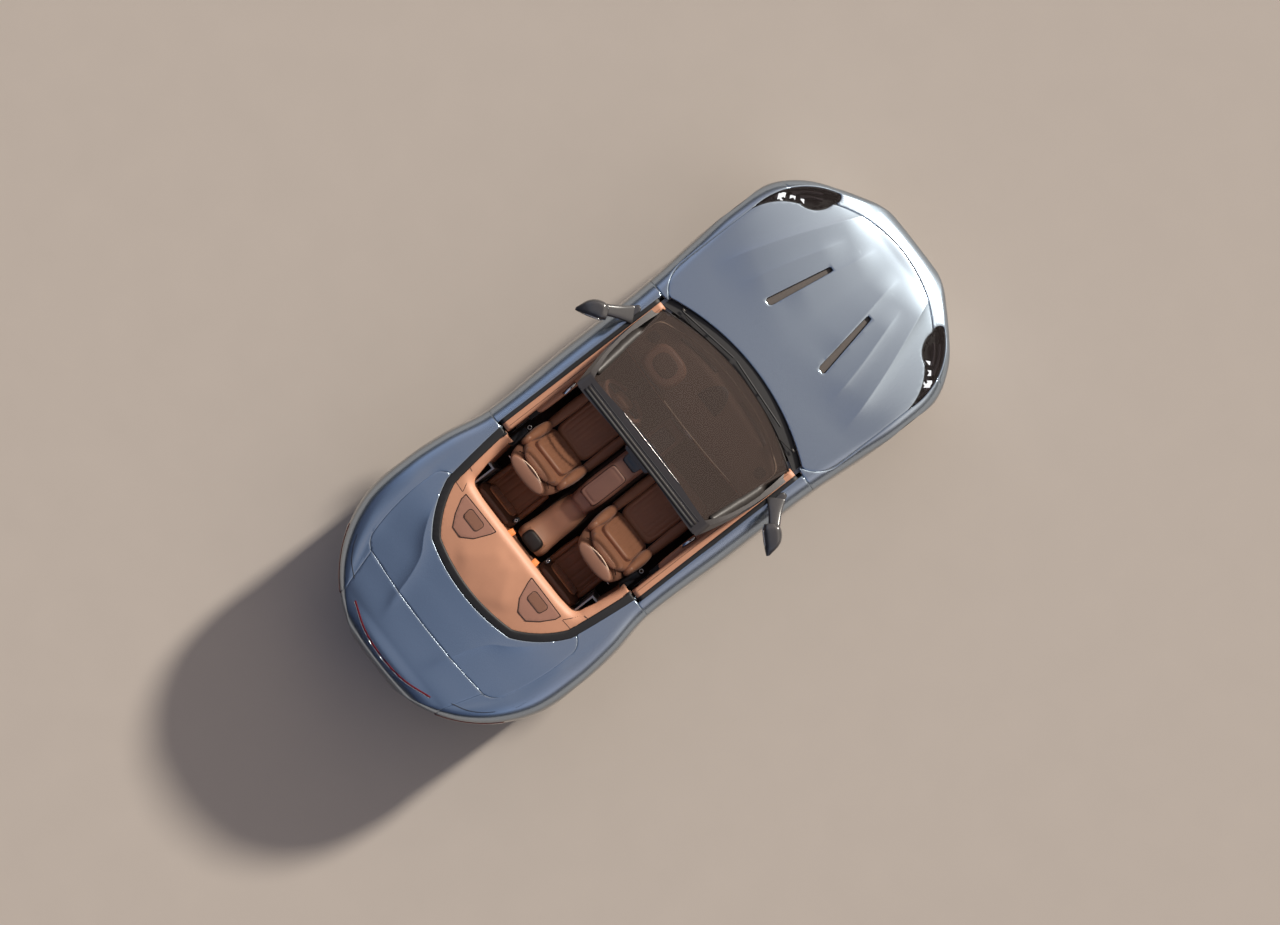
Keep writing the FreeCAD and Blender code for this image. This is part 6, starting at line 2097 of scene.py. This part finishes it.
def make_sky() -> None:
    """A soft sky that is bright beyond the nose, mild overhead and darker and bluer beyond the tail."""
    world = bpy.data.worlds.new("studio")
    world.use_nodes = True
    nodes, links = world.node_tree.nodes, world.node_tree.links
    where = nodes.new("ShaderNodeTexCoord")
    split = nodes.new("ShaderNodeSeparateXYZ")
    links.new(where.outputs["Generated"], split.inputs["Vector"])
    along = nodes.new("ShaderNodeMapRange")
    along.inputs["From Min"].default_value = -1.0
    along.inputs["From Max"].default_value = 1.0
    lean = nodes.new("ShaderNodeVectorMath")
    lean.operation = "DOT_PRODUCT"
    lean.inputs[1].default_value = SKY_LEAN
    links.new(where.outputs["Generated"], lean.inputs[0])
    links.new(lean.outputs["Value"], along.inputs["Value"])
    tones = []
    for table, source in ((SKY, along.outputs["Result"]), (RISE, split.outputs["Z"])):
        ramp = nodes.new("ShaderNodeValToRGB")
        stops = ramp.color_ramp.elements
        stops[0].position, stops[0].color = table[0][0], (*table[0][1], 1)
        stops[1].position, stops[1].color = table[-1][0], (*table[-1][1], 1)
        for place, color in table[1:-1]:
            stops.new(place).color = (*color, 1)
        links.new(source, ramp.inputs["Fac"])
        tones.append(ramp.outputs["Color"])
    shade = nodes.new("ShaderNodeMix")
    shade.data_type, shade.blend_type = "RGBA", "MULTIPLY"
    shade.inputs["Factor"].default_value = 1.0
    links.new(tones[0], shade.inputs["A"])
    links.new(tones[1], shade.inputs["B"])
    back = nodes["Background"]
    links.new(shade.outputs["Result"], back.inputs["Color"])
    back.inputs["Strength"].default_value = SKY_STRENGTH
    bpy.context.scene.world = world


def make_stage() -> None:
    """A pale floor, a soft key light beyond the nose and a sky."""
    floor = make_mesh(
        "floor", np.array([(-30, -30, 0), (30, -30, 0), (30, 30, 0), (-30, 30, 0)]), [(0, 1, 2, 3)], FLOOR, smooth=False
    )
    sun = bpy.data.lights.new("key_light", "SUN")
    sun.energy, sun.angle, sun.color = KEY_STRENGTH, math.radians(5.0), KEY_COLOR
    lamp = linked("key_light", sun)
    lamp.rotation_mode = "QUATERNION"
    low, aside = math.radians(KEY_ELEVATION), math.radians(KEY_ASIDE)
    towards = Vector((math.sin(aside) * math.cos(low), math.cos(aside) * math.cos(low), -math.sin(low)))
    lamp.rotation_quaternion = towards.to_track_quat("-Z", "Y")
    make_sky()
    bpy.context.scene.view_settings.view_transform = "Standard"


def main() -> None:
    """Builds the camera, the stage and every sub-assembly in order."""
    logging.basicConfig(level=logging.INFO, format="%(relativeCreated)d ms: %(message)s")
    make_camera()
    make_stage()
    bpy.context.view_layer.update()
    form = BodyForm()
    maker = PanelMaker(form)
    BodyShell(maker).build()
    Straps(form).build()
    Doors(form).build()
    Lamps(maker).build()
    Seats().build()
    Cabin(form, maker).build()
    Header(Surface("windscreen_frame")).build()
    SteeringWheel().build()
    Mirrors().build()
    dress_cad({n for o in bpy.data.objects for n in o.get("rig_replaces", [])})
    log.info("all pieces made")


if __name__ == "__main__":
    main()
